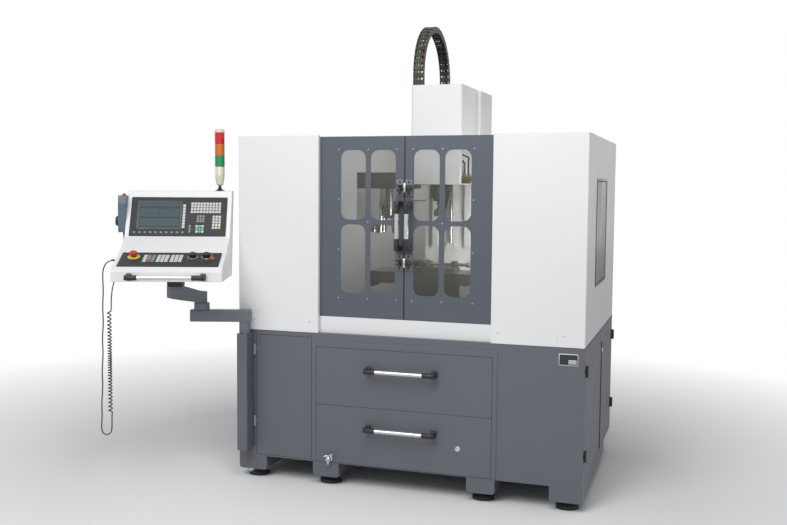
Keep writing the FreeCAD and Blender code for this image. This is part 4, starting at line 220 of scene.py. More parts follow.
@dataclass(frozen=True)
class Textured(Finish):
    """A surface with a grain, patches of tone and gloss, and a painted highlight on its edges.

    A pattern is its width in millimetres and its detail. None stands for the pattern before it, in
    the order grain, tone, gloss.

    Attributes:
        cut: Which way the grain runs.
        grain_mm: Width of one bump or mark of the grain.
        depth: Strength of the grain's relief.
        edge: How far edges take the colour of the painted highlight.
        tones: How dark and how light the patches are, as factors of the colour.
        bands: Second colours past a plane.
        detail: Detail of the grain.
        tone: Pattern of the lighter and darker patches.
        gloss: Pattern of the patches of gloss.
        spread: How far the roughness goes below and above its middle value.
        relief: Height of the grain in metres.
        rounding: How far edges are rounded for the light, or 0 for none.
        edge_highlight_colour: Colour of the painted edge highlight, or None for its own, made
            lighter.
        ior, metallic, coat: The shader's values of the same names.
    """

    cut: Cut = Cut.EVEN
    grain_mm: float = 1.0
    depth: float = 0.1
    edge: float = 1.0
    tones: tuple[float, float] = (0.93, 1.07)
    bands: tuple[Band, ...] = ()
    detail: float = 2.0
    tone: Optional[tuple[float, float]] = None
    gloss: Optional[tuple[float, float]] = None
    spread: tuple[float, float] = (0.05, 0.05)
    relief: float = 0.0002
    rounding: float = 0.8
    edge_highlight_colour: Optional[str] = None
    ior: float = 1.5
    metallic: float = 0.0
    coat: float = 0.0

    def patterns(self, tree: Tree, place: Socket) -> list[Socket]:
        """Adds the patterns of grain, tone and gloss.

        Args:
            tree: The material's node tree.
            place: The Object coordinates.

        Returns:
            The value of each pattern.
        """
        stretch = add_node(tree, "Mapping", {"Scale": self.cut.value}, {"Vector": place})
        along = stretch.outputs["Vector"]
        grain = (self.grain_mm, self.detail)
        found: list[Socket] = []
        for pattern, where in ((grain, along), (self.tone, place), (self.gloss, place)):
            if pattern is None:
                found.append(found[-1])
            else:
                values = {"Scale": per_metre(pattern[0]), "Detail": pattern[1]}
                noise = add_node(tree, "TexNoise", values, {"Vector": where})
                found.append(noise.outputs["Fac"])
        return found

    def edges(self, tree: Tree) -> tuple[Socket, Socket]:
        """Finds a piece's edges for the painted highlight, and rounds them for the light.

        Args:
            tree: The material's node tree.

        Returns:
            The share of the painted edge highlight, from 0 on flats up to edge, and the rounded
            normal.
        """
        bevel = {"samples": 4, "Radius": self.rounding / 1000}
        rounded = add_node(tree, "Bevel", bevel).outputs["Normal"]
        true = add_node(tree, "NewGeometry").outputs["Normal"]
        match = add_node(tree, "VectorMath", {"operation": "DOT_PRODUCT"}, {0: rounded, 1: true})
        turned = {"From Min": 0.99, "From Max": 0.80, "To Min": 0.0, "To Max": self.edge}
        share = add_node(tree, "MapRange", turned, {"Value": match.outputs["Value"]})
        return share.outputs["Result"], rounded

    def shade(self, tree: Tree, place: Socket) -> Socket:
        """Adds the nodes of the surface.

        Args:
            tree: The material's node tree.
            place: The Object coordinates.

        Returns:
            The shader's output.
        """
        grain, tone, gloss = self.patterns(tree, place)
        dark, light = (linear(self.colour, factor) for factor in self.tones)
        patches = {"data_type": "RGBA", 6: dark, 7: light}
        colour = add_node(tree, "Mix", patches, {0: tone}).outputs[2]
        smooth, rough = self.roughness - self.spread[0], self.roughness + self.spread[1]
        spread = {"From Min": 0.3, "From Max": 0.7, "To Min": smooth, "To Max": rough}
        links = {"Roughness": add_node(tree, "MapRange", spread, {"Value": gloss}).outputs[0]}
        for band in self.bands:
            past = band.share(tree, place)
            second = {"data_type": "RGBA", 7: linear(band.colour)}
            colour = add_node(tree, "Mix", second, {0: past, 6: colour}).outputs[2]
            other = {"data_type": "FLOAT", 3: band.roughness}
            ends = {0: past, 2: links["Roughness"]}
            links["Roughness"] = add_node(tree, "Mix", other, ends).outputs[0]
            if band.bare:
                links["Metallic"] = past
        sources = {"Height": grain}
        # Painted highlight: the edges are mixed towards a lighter colour.
        if self.rounding:
            share, sources["Normal"] = self.edges(tree)
            rim = linear(self.edge_highlight_colour) if self.edge_highlight_colour else linear(self.colour, 1.35)
            bright = {"data_type": "RGBA", 7: rim}
            colour = add_node(tree, "Mix", bright, {0: share, 6: colour}).outputs[2]
        bump = {"Strength": self.depth, "Distance": self.relief}
        links["Normal"] = add_node(tree, "Bump", bump, sources).outputs["Normal"]
        links["Base Color"] = colour
        values = {"IOR": self.ior, "Metallic": self.metallic, "Coat Weight": self.coat}
        return add_node(tree, "BsdfPrincipled", values, links).outputs["BSDF"]


@dataclass(frozen=True)
class Coating(Textured):
    """Powder coat baked on sheet steel: a fine orange peel, and a painted highlight that makes its
    edges paler.
    """

    grain_mm: float = 2.2
    depth: float = 0.12
    edge: float = 0.18
    tones: tuple[float, float] = (0.97, 1.03)
    detail: float = 1.0
    tone: Optional[tuple[float, float]] = (420.0, 2.0)
    gloss: Optional[tuple[float, float]] = (90.0, 4.0)
    spread: tuple[float, float] = (0.04, 0.05)
    relief: float = 0.0003
    rounding: float = 2.0
    edge_highlight_colour: Optional[str] = "#EDEDEC"


@dataclass(frozen=True)
class Metal(Textured):
    """Bare metal with the marks of its making, darker in its grain, with a painted highlight on its
    edges.
    """

    cut: Cut = Cut.GROUND
    grain_mm: float = 1.2
    tones: tuple[float, float] = (0.78, 1.12)
    detail: float = 3.0
    gloss: Optional[tuple[float, float]] = (60.0, 3.0)
    spread: tuple[float, float] = (0.06, 0.08)
    relief: float = 0.0004
    metallic: float = 1.0


@dataclass(frozen=True)
class Moulding(Textured):
    """Moulded plastic or rubber: a spark-eroded grain and a soft highlight on rounded edges."""

    grain_mm: float = 0.9
    depth: float = 0.15
    edge: float = 0.06
    tone: Optional[tuple[float, float]] = (50.0, 2.0)
    edge_highlight_colour: Optional[str] = "#DADADA"
    ior: float = 1.49


@dataclass(frozen=True)
class Flex(Textured):
    """Extruded polyurethane of a curly lead: smooth, slightly waxy, with a faint shade."""

    depth: float = 0.08
    tones: tuple[float, float] = (0.85, 1.2)
    tone: Optional[tuple[float, float]] = (25.0, 3.0)
    spread: tuple[float, float] = (0.0, 0.0)
    relief: float = 0.0001
    rounding: float = 0.0
    coat: float = 0.15


@dataclass(frozen=True)
class Glazing(Finish):
    """Clear polycarbonate sheet: mostly see-through, a faint tint, wipe marks in its gloss.

    Attributes:
        share: How much of the light the sheet keeps.
    """

    share: float = 0.16

    def shade(self, tree: Tree, place: Socket) -> Socket:
        """Adds the nodes of the sheet.

        Args:
            tree: The material's node tree.
            place: The Object coordinates.

        Returns:
            The shader's output.
        """
        wiped = add_node(tree, "Mapping", {"Scale": (1.0, 1.0, 0.35)}, {"Vector": place})
        wipe = {"Scale": per_metre(120), "Detail": 3.0}
        marks = add_node(tree, "TexNoise", wipe, {"Vector": wiped.outputs["Vector"]})
        links = {}
        for key, start, end, value, rise in (
            ("Roughness", 0.35, 0.65, self.roughness, 0.10),
            ("Alpha", 0.4, 0.8, self.share, 0.05),
        ):
            spread = {"From Min": start, "From Max": end, "To Min": value, "To Max": value + rise}
            ranged = add_node(tree, "MapRange", spread, {"Value": marks.outputs["Fac"]})
            links[key] = ranged.outputs["Result"]
        values = {"Base Color": linear(self.colour), "IOR": 1.58}
        return add_node(tree, "BsdfPrincipled", values, links).outputs["BSDF"]


@dataclass(frozen=True)
class Lens(Finish):
    """Coloured acrylic of a signal lamp: upright ribs inside it, and a faint painted glow.

    Attributes:
        rib_mm: Pitch of the ribs.
        light: Strength of the painted glow in the lens's own colour.
    """

    rib_mm: float = 4.0
    light: float = 0.12

    def shade(self, tree: Tree, place: Socket) -> Socket:
        """Adds the nodes of the lens.

        Args:
            tree: The material's node tree.
            place: The Object coordinates.

        Returns:
            The shader's output.
        """
        ribs = {"bands_direction": "X", "Scale": per_metre(self.rib_mm) / 20, "Distortion": 0.0}
        wave = add_node(tree, "TexWave", ribs, {"Vector": place}).outputs["Fac"]
        tone = {"data_type": "RGBA", 6: linear(self.colour, 0.8), 7: linear(self.colour, 1.15)}
        colour = add_node(tree, "Mix", tone, {0: wave}).outputs[2]
        relief = add_node(tree, "Bump", {"Strength": 0.25}, {"Height": wave})
        values = {"Roughness": self.roughness, "IOR": 1.49}
        # A painted glow: the lens emits its own colour.
        values |= {"Emission Color": linear(self.colour), "Emission Strength": self.light}
        links = {"Base Color": colour, "Normal": relief.outputs["Normal"]}
        return add_node(tree, "BsdfPrincipled", values, links).outputs["BSDF"]


@dataclass(frozen=True)
class Display(Finish):
    """A dark liquid-crystal screen: teal fields with dark bars between, on the piece's own UV map.

    Attributes:
        field: Colour of the plain fields.
        bars: Middle and half height of each dark bar, as shares of the screen's height.
    """

    field: str = "#24434B"
    bars: tuple[tuple[float, float], ...] = ((0.80, 0.035), (0.40, 0.03), (0.03, 0.03))

    def shade(self, tree: Tree, place: Socket) -> Socket:
        """Adds the nodes of the screen.

        Args:
            tree: The material's node tree.
            place: The Object coordinates.

        Returns:
            The shader's output.
        """
        plan = add_node(tree, "UVMap", {"uv_map": "plan"}).outputs["UV"]
        dark = linear(self.colour)
        grid = {"Scale": 1.0, "Brick Width": 0.48, "Row Height": 0.092, "Mortar Size": 0.006}
        grid |= {"offset": 0.0, "Mortar": dark}
        grid |= {"Color1": linear(self.field), "Color2": linear(self.field, 0.8)}
        colour = add_node(tree, "TexBrick", grid, {"Vector": plan}).outputs["Color"]
        up = add_node(tree, "SeparateXYZ", links={"Vector": plan}).outputs["Y"]
        for middle, half in self.bars:
            near = {"operation": "COMPARE", 1: middle, 2: half}
            row = add_node(tree, "Math", near, {0: up}).outputs["Value"]
            links = {0: row, 6: colour}
            colour = add_node(tree, "Mix", {"data_type": "RGBA", 7: dark}, links).outputs[2]
        values = {"Roughness": self.roughness, "IOR": 1.4, "Emission Strength": 0.12}
        links = {"Base Color": colour, "Emission Color": colour}
        return add_node(tree, "BsdfPrincipled", values, links).outputs["BSDF"]


@dataclass(frozen=True)
class StudioFloor(Finish):
    """A pale matt floor that fades to plain white far off, for the camera alone.

    Attributes:
        near: Where the fade starts, in metres from the machine.
        far: Where it ends.
    """

    near: float = 1.6
    far: float = 4.2

    def shade(self, tree: Tree, place: Socket) -> Socket:
        """Adds the nodes of the floor.

        Args:
            tree: The material's node tree.
            place: The Object coordinates.

        Returns:
            The shader's output.
        """
        reach = add_node(tree, "VectorMath", {"operation": "LENGTH"}, {0: place}).outputs["Value"]
        fade = {"From Min": self.near, "From Max": self.far}
        share = add_node(tree, "MapRange", fade, {"Value": reach}).outputs["Result"]
        seen = add_node(tree, "LightPath").outputs["Is Camera Ray"]
        both = add_node(tree, "Math", {"operation": "MULTIPLY"}, {0: share, 1: seen})
        values = {"Base Color": linear(self.colour), "Roughness": self.roughness}
        values["Specular IOR Level"] = 0.1
        matt = add_node(tree, "BsdfPrincipled", values).outputs["BSDF"]
        white = add_node(tree, "Emission", {"Color": (1.0, 1.0, 1.0, 1.0), "Strength": 1.0})
        links = {0: both.outputs["Value"], 1: matt, 2: white.outputs["Emission"]}
        return add_node(tree, "MixShader", links=links).outputs[0]


# Powder coat: even and satin, so that large panels read as folded sheet. Its peel is drawn about
# twice as coarse as the real one, so that it shows.
WHITE_COAT = Coating("white_powder_coat", "#E8E9EA", 0.40)
GREY_COAT = Coating("grey_powder_coat", "#62656D", 0.42)
DOOR_COAT = Coating("blue_grey_powder_coat", "#545A64", 0.42)
ARM_COAT = Coating("arm_powder_coat", "#6E727A", 0.42)
# White sheet that is dark above z 1490, on the magazine.
DARK_BAND = Band(1490.0, "#4A4745", 0.5)
MAGAZINE_COAT = Coating("white_coat_dark_band", "#D8D9D8", 0.42, bands=(DARK_BAND,))
# Grey coat with black hinge covers at the right and pale hinges in front, on the cabinet.
HINGES = (
    Band(875.4, "#1C1D1F", 0.45, side=Side.RIGHT),
    Band(-1.6, "#8A8E93", 0.4, side=Side.FRONT),
)
CABINET_COAT = Coating("grey_coat_black_hinges", "#62656D", 0.42, bands=HINGES)
# White coat over the black block that the pendant swivels on.
SWIVEL_BLOCK = Band(1044.6, "#1E1F21", 0.45, side=Side.BELOW)
HOUSING_COAT = Coating("white_coat_black_swivel", "#E8E9EA", 0.40, bands=(SWIVEL_BLOCK,))
# Black rubber pads, dull, under zinc-plated studs that glint.
STUD = Band(16.2, "#A9ABAE", 0.32, bare=True)
FOOT_COAT = Coating("rubber_pad_zinc_stud", "#1B1B1C", 0.7, edge=0.05, bands=(STUD,))
# Brushed-on machine paint over rough castings: broad bumps under a soft sheen.
COLUMN_COAT = Coating(
    "pale_casting_paint", "#DFE0DC", 0.46, grain_mm=4.5, tones=(0.96, 1.04)
)
HEAD_COAT = Coating("dark_casting_paint", "#46423F", 0.5, grain_mm=4.5, tones=(0.94, 1.06))
BED_COAT = Coating("grey_bed_paint", "#9A978F", 0.5, grain_mm=4.5, tones=(0.95, 1.05))
CASTING = Coating(
    "painted_casting", "#8B8E90", 0.5, grain_mm=4.5, tones=(0.94, 1.06), edge=0.3
)
VISE_COAT = Coating(
    "dark_vise_paint", "#4B4845", 0.44, grain_mm=3.0, tones=(0.95, 1.05), edge=0.35
)
# Sprayed enamel on small parts, with a pale painted highlight along its edges.
CATCH_COAT = Coating("grey_catch_paint", "#6C6C6E", 0.38, grain_mm=1.6, edge=0.3)
MOTOR_BLACK = Coating("black_motor_paint", "#202123", 0.42, grain_mm=1.6, edge=0.25)
# Polycarbonate: clear and glossy in the doors, grey and mostly opaque in the side wall.
PANE = Glazing("clear_polycarbonate", "#56544A", 0.06, 0.3)
SIDE_PANE = Glazing("clouded_polycarbonate", "#6A6960", 0.24, 0.84)
# Bare metals: long fine lines on ground and drawn faces, rings and a sharp glint on turned ones.
GROUND_IRON = Metal("ground_cast_iron", "#8F9192", 0.34, Cut.GROUND, 1.4)
TRAY_STEEL = Metal("stainless_sheet", "#9C9E9F", 0.38, Cut.DRAWN, 1.6)
HANDLE_ALLOY = Metal("satin_anodised_aluminium", "#D5D6D8", 0.30, Cut.DRAWN, 0.8, 0.06)
PLATE_SATIN = Metal("satin_rating_plate", "#C4C5C6", 0.35, Cut.DRAWN, 0.9, 0.05)
BRIGHT_STEEL = Metal("turned_bright_steel", "#A9ABAD", 0.24, Cut.TURNED, 0.9)
SPINDLE_BLACK = Metal("blackened_steel", "#3C3D3F", 0.36, Cut.TURNED, 1.0)
LOCK_CHROME = Metal("chrome_plate", "#C9CACC", 0.16, Cut.TURNED, 2.0, 0.02)
ZINC = Metal("zinc_plated_screws", "#B9BABC", 0.3, Cut.TURNED, 0.8)
BRASS = Metal("brass_fitting", "#8F7D55", 0.34, Cut.TURNED, 1.0)
# Rubber and glass-filled nylon: dark and dull, with a grain that breaks the highlight up.
HARD_RUBBER = Moulding("black_rubber", "#1A1A1B", 0.66)
CHAIN_NYLON = Moulding("glass_filled_nylon", "#232426", 0.48)
GRIP_PLASTIC = Moulding("ribbed_grip_plastic", "#252628", 0.45)
# Printed film and ink: flat, with hardly any grain.
PANEL_FILM = Moulding("dark_panel_film", "#232628", 0.6, grain_mm=1.1, depth=0.08)
PLATE_INK = Moulding("dark_plate_ink", "#2B2C2E", 0.5)
# Moulded ABS: an even colour with a soft highlight along each edge.
BEZEL_PLASTIC = Moulding("black_bezel_plastic", "#1C1D1F", 0.36)
KEY_PLASTIC = Moulding("pale_key_plastic", "#CDCECF", 0.42)
DULL_KEY = Moulding("dull_key_plastic", "#86878B", 0.45)
TEAL_KEY = Moulding("teal_key_plastic", "#63B79C", 0.42)
GREEN_KEY = Moulding("green_key_plastic", "#3F9A5A", 0.42)
RED_KEY = Moulding("red_key_plastic", "#B6402F", 0.42)
YELLOW_PLASTIC = Moulding("yellow_ring_plastic", "#DAC63C", 0.38)
STOP_RED = Moulding("glossy_red_plastic", "#BE2B1C", 0.26, edge=0.03)
KNOB_BLACK = Moulding("black_knob_plastic", "#1E1F21", 0.35)
KEY_ORANGE = Moulding("orange_key_plastic", "#D9642A", 0.35)
UNIT_PLASTIC = Moulding("blue_grey_abs", "#5B6B7C", 0.4)
LAMP_BASE = Moulding("lamp_base_plastic", "#D9D2C4", 0.4)
# Acrylic lenses: deep, glossy colour that ribs inside break into fine upright lines, and a faint
# painted glow.
LAMP_RED = Lens("red_acrylic", "#C41F28", 0.22)
LAMP_AMBER = Lens("amber_acrylic", "#C96A2C", 0.22)
LAMP_GREEN = Lens("green_acrylic", "#128A55", 0.22)
LAMP_CLEAR = Lens("frosted_acrylic", "#E2D8C6", 0.3)
# A screen that is on but dim, and a lead with a waxy sheen.
SCREEN = Display("dark_lcd_screen", "#0D1315", 0.42)
CORD_SKIN = Flex("curly_lead_polyurethane", "#10202A", 0.42)
# The studio's floor.
FLOOR = StudioFloor("pale_floor", "#F8F8F8", 0.7)

SLOT_FINISH: dict[str, Finish] = {
    "white_enamel": WHITE_COAT,
    "grey_enamel": GREY_COAT,
    "door_enamel": DOOR_COAT,
    "pane": PANE,
    "ground_iron": GROUND_IRON,
    "cast_grey": CASTING,
    "bright_steel": BRIGHT_STEEL,
    "tray_steel": TRAY_STEEL,
    "handle_alloy": HANDLE_ALLOY,
    "motor_black": MOTOR_BLACK,
    "foot_black": FOOT_COAT,
    "chain_black": CHAIN_NYLON,
    "panel_black": PANEL_FILM,
    "stop_red": STOP_RED,
    "knob_black": KNOB_BLACK,
    "key_orange": KEY_ORANGE,
    "lens": LAMP_CLEAR,
    "cord_teal": CORD_SKIN,
    "lock_chrome": LOCK_CHROME,
}
# Nodes whose finish isn't the plain one of their slot.
NODE_FINISH: dict[str, Finish] = {
    "magazine_housing": MAGAZINE_COAT,
    "front_frame": WHITE_COAT,
    "side_window": SIDE_PANE,
    "pendant_housing": HOUSING_COAT,
    "lower_arm": ARM_COAT,
    "upper_arm": ARM_COAT,
    "base_cabinet": CABINET_COAT,
    "cabinet_door": CABINET_COAT,
    "front_side_door": CABINET_COAT,
    "rear_side_door": CABINET_COAT,
    "column": COLUMN_COAT,
    "head_casting": HEAD_COAT,
    "bed_casting": BED_COAT,
    "vise_body": VISE_COAT,
    "vise_jaw": VISE_COAT,
    "spindle": SPINDLE_BLACK,
    "handwheel_unit": UNIT_PLASTIC,
    "handwheel_dial": KNOB_BLACK,
    "milling_tool": BRIGHT_STEEL,
}


# ---------------------------------------------------------------- shapes


def add_object(name: str, data: bpy.types.ID, place: Matrix = UPRIGHT) -> Piece:
    """Puts a new object into the scene.

    Args:
        name: Its name.
        data: Its mesh, curve, lamp or camera.
        place: Where it stands.

    Returns:
        The object.
    """
    made = bpy.data.objects.new(name, data)
    made.matrix_world = place
    bpy.context.scene.collection.objects.link(made)
    return made


def moved(x: float, y: float, z: float, turn: Matrix = UPRIGHT) -> Matrix:
    """Gives the matrix that turns a form and then sets it at a point."""
    return Matrix.Translation((x, y, z)) @ turn


def tilted(y: float, z: float, degrees: float) -> Matrix:
    """Gives a pendant face's own axes: x across, y up the slope and z out of the face."""
    return moved(0.0, y, z, Matrix.Rotation(math.radians(degrees), 4, "X"))


class Shape:
    """A mesh in the making, in millimetres, built by bmesh operators and then put in its place.

    The methods that add a form take as turn the matrix of the form's own axes.
    """

    def __init__(self, place: Matrix = MACHINE) -> None:
        """Starts an empty mesh that will be placed by a matrix."""
        self.mesh = bmesh.new()
        self.place = place

    def _fresh(self, old: set[bmesh.types.BMVert]) -> list[bmesh.types.BMVert]:
        """Gives the vertices that weren't there before."""
        return [vert for vert in self.mesh.verts if vert not in old]

    def _edges(self, verts: Iterable[bmesh.types.BMVert]) -> list[bmesh.types.BMEdge]:
        """Gives the edges that touch some vertices."""
        return list({edge for vert in verts for edge in vert.link_edges})

    def _round(self, edges: Iterable[bmesh.types.BMEdge], radius: float, segments: int) -> None:
        """Rounds edges by a bevel.

        Args:
            edges: The edges to round.
            radius: How far the bevel reaches from each edge.
            segments: Faces across it.
        """
        values = {"segments": segments, "profile": 0.5, "affect": "EDGES", "material": -1}
        values |= {"offset": radius, "offset_type": "OFFSET", "clamp_overlap": True}
        bmesh.ops.bevel(self.mesh, geom=list(edges), **values)

    def block(
        self, low: Point, high: Point, rounding: float = 0.0, turn: Matrix = UPRIGHT,
        segments: int = 2,
    ) -> None:
        """Adds a block between two corners.

        Args:
            low: Its lowest corner.
            high: Its highest corner.
            rounding: Radius of its edges.
            turn: Its own axes.
            segments: Faces across each rounded edge.
        """
        middle = (Vector(low) + Vector(high)) / 2
        size = Vector(high) - Vector(low)
        matrix = turn @ Matrix.Translation(middle) @ Matrix.Diagonal((*size, 1.0))
        made = bmesh.ops.create_cube(self.mesh, size=1.0, matrix=matrix)
        if rounding > 0:
            self._round(self._edges(made["verts"]), rounding, segments)

    def rod(
        self, start: Point, end: Point, radius: float, end_radius: Optional[float] = None,
        rounding: float = 0.0, sides: int = 24, turn: Matrix = UPRIGHT,
    ) -> None:
        """Adds a round bar or a cone between two points.

        Args:
            start: Middle of its first end.
            end: Middle of its last end.
            radius: Radius at the first end.
            end_radius: Radius at the last end, where it differs.
            rounding: Radius of its two rims.
            sides: How many faces go round it.
            turn: Its own axes.
        """
        first, last = Vector(start), Vector(end)
        aim = (last - first).to_track_quat("Z", "Y").to_matrix().to_4x4()
        matrix = turn @ Matrix.Translation((first + last) / 2) @ aim
        sizes = {"radius1": radius, "radius2": radius if end_radius is None else end_radius}
        sizes |= {"depth": (last - first).length, "segments": sides}
        made = bmesh.ops.create_cone(self.mesh, cap_ends=True, matrix=matrix, **sizes)
        if rounding > 0:
            edges = self._edges(made["verts"])
            rims = [edge for edge in edges if any(len(f.verts) > 4 for f in edge.link_faces)]
            self._round(rims, rounding, 2)

    def plate(
        self, low: Point, high: Point, thick: float, corner: float, turn: Matrix = UPRIGHT,
        rounding: float = 0.0, hole: float = 0.0,
    ) -> None:
        """Adds a flat plate with round corners, or a ring where a width for its rim is given.

        Args:
            low: Its lower left corner, in its own plane.
            high: Its upper right corner.
            thick: How far it stands along its own z.
            corner: Radius of its corners.
            turn: Its own axes.
            rounding: Radius of its upper rim.
            hole: Width of the rim that is left round a hole, or 0 for a full plate.
        """
        old = set(self.mesh.verts)
        size = (high[0] - low[0], high[1] - low[1], thick)
        middle = ((high[0] + low[0]) / 2, (high[1] + low[1]) / 2, thick / 2)
        matrix = Matrix.Translation(middle) @ Matrix.Diagonal((*size, 1.0))
        made = bmesh.ops.create_cube(self.mesh, size=1.0, matrix=matrix)
        rises = ((edge, edge.verts[0].co - edge.verts[1].co) for edge in self._edges(made["verts"]))
        self._round([edge for edge, rise in rises if abs(rise.z) > thick / 2], corner, 6)
        self.mesh.normal_update()
        verts = self._fresh(old)
        ends = {face for vert in verts for face in vert.link_faces if abs(face.normal.z) > 0.9}
        if hole > 0:
            values = {"thickness": hole, "use_even_offset": True}
            bmesh.ops.inset_individual(self.mesh, faces=list(ends), **values)
            inner = [edge for face in ends for edge in face.edges]
            bmesh.ops.delete(self.mesh, geom=list(ends), context="FACES_ONLY")
            bmesh.ops.bridge_loops(self.mesh, edges=inner)
        elif rounding > 0:
            top = [face for face in ends if face.calc_center_median().z > thick / 2]
            self._round([edge for face in top for edge in face.edges], rounding, 2)
        bmesh.ops.transform(self.mesh, matrix=turn, verts=self._fresh(old))

    def tube(self, points: Sequence[Vector], radius: float, sides: int = 16) -> None:
        """Adds a bent round tube: straight lengths with a ball in each bend.

        Args:
            points: The corners of its middle line.
            radius: Its radius.
            sides: How many faces go round it.
        """
        for start, end in zip(points, points[1:]):
            self.rod(start, end, radius, sides=sides)
        ball = {"u_segments": sides, "v_segments": 8, "radius": radius}
        for point in points[1:-1]:
            bmesh.ops.create_uvsphere(self.mesh, matrix=Matrix.Translation(point), **ball)

    def lathe(self, profile: Iterable[Point], turn: Matrix = UPRIGHT, steps: int = 32) -> None:
        """Adds a form turned about its own z.

        Args:
            profile: Radius and height of each corner, from one end to the other.
            turn: Its own axes.
            steps: How many faces go round it.
        """
        old = set(self.mesh.verts)
        corners = [self.mesh.verts.new((radius, 0.0, height)) for radius, height in profile]
        edges = [self.mesh.edges.new(pair) for pair in zip(corners, corners[1:])]
        values = {"cent": (0, 0, 0), "axis": (0, 0, 1), "angle": 2 * math.pi, "steps": steps}
        bmesh.ops.spin(self.mesh, geom=corners + edges, use_merge=True, **values)
        bmesh.ops.remove_doubles(self.mesh, verts=self._fresh(old), dist=0.001)
        fresh = self._fresh(old)
        faces = list({face for vert in fresh for face in vert.link_faces})
        bmesh.ops.recalc_face_normals(self.mesh, faces=faces)
        bmesh.ops.transform(self.mesh, matrix=turn, verts=fresh)

    def map_plan(self, low: Point, high: Point) -> None:
        """Writes a UV map named plan that runs from 0 to 1 between two corners of the own plane.

        Args:
            low: Lower left corner.
            high: Upper right corner.
        """
        layer = self.mesh.loops.layers.uv.new("plan")
        for face in self.mesh.faces:
            for loop in face.loops:
                spot = zip(loop.vert.co, low, high)
                loop[layer].uv = [(at - start) / (end - start) for at, start, end in spot]

    def finish(self, name: str, body: Optional[str], finish: Finish, slot: str) -> Piece:
        """Puts the mesh in its place, makes the piece of it and lets it ride on a body.

        Args:
            name: The piece's name.
            body: The CAD body that it moves with, or None for a piece that rides on none.
            finish: What it is made of.
            slot: A material slot of the record; not used.

        Returns:
            The new object.
        """
        bmesh.ops.transform(self.mesh, matrix=self.place, verts=self.mesh.verts)
        bmesh.ops.recalc_face_normals(self.mesh, faces=self.mesh.faces)
        for edge in self.mesh.edges:
            edge.smooth = edge.calc_face_angle(math.pi) < CREASE
        for face in self.mesh.faces:
            face.smooth = True
        data = bpy.data.meshes.new(name)
        self.mesh.to_mesh(data)
        self.mesh.free()
        data.materials.append(finish.material())
        piece = add_object(name, data)
        if body is not None:
            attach(piece, body)
        LOG.info("%s: %d faces on %s", name, len(data.polygons), body)
        return piece


@dataclass
class Assembly:
    """A sub-assembly: where it lies, what it rides on and which CAD node its pieces stand for.

    Attributes:
        body: The CAD body that its pieces ride on, or None for pieces that ride on none.
        node: The CAD node that they stand for, or nothing where they only add to one.
        place: The matrix from millimetres to the frame.
        slot: The record's material slot of a piece that names none of its own.
    """

    body: Optional[str] = "machine_frame"
    node: str = ""
    place: Matrix = MACHINE
    slot: str = "knob_black"

    def shape(self) -> Shape:
        """Starts a mesh in this sub-assembly's place."""
        return Shape(self.place)

    def keep(
        self, shape: Shape, name: str, finish: Finish, slot: Optional[str] = None
    ) -> Piece:
        """Makes a shape one of this sub-assembly's pieces.

        Args:
            shape: The finished mesh.
            name: The piece's name.
            finish: What it is made of.
            slot: The record's material slot that it stands for, where it isn't the usual one.

        Returns:
            The piece.
        """
        piece = shape.finish(name, self.body, finish, slot or self.slot)
        if self.node:
            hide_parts(self.node)
        return piece

    def build(self) -> None:
        """Makes the pieces."""
        raise NotImplementedError


# ---------------------------------------------------------------- studio


@dataclass(frozen=True)
class Lamp:
    """One soft square lamp.

    Attributes:
        name: Its name.
        spot: Where it hangs, in metres.
        aim: The point that it faces.
        size: Its side, in metres.
        power: Its power in watts.
    """

    name: str
    spot: Point
    aim: Point
    size: float
    power: float

    def hang(self) -> None:
        """Adds the lamp, unseen by the camera and through the panes."""
        data = bpy.data.lights.new(self.name, "AREA")
        data.shape, data.size, data.energy = "SQUARE", self.size, self.power
        facing = Vector(self.aim) - Vector(self.spot)
        turn = facing.to_track_quat("-Z", "Y").to_matrix().to_4x4()
        lamp = add_object(self.name, data, moved(*self.spot, turn))
        lamp.visible_camera = lamp.visible_transmission = False


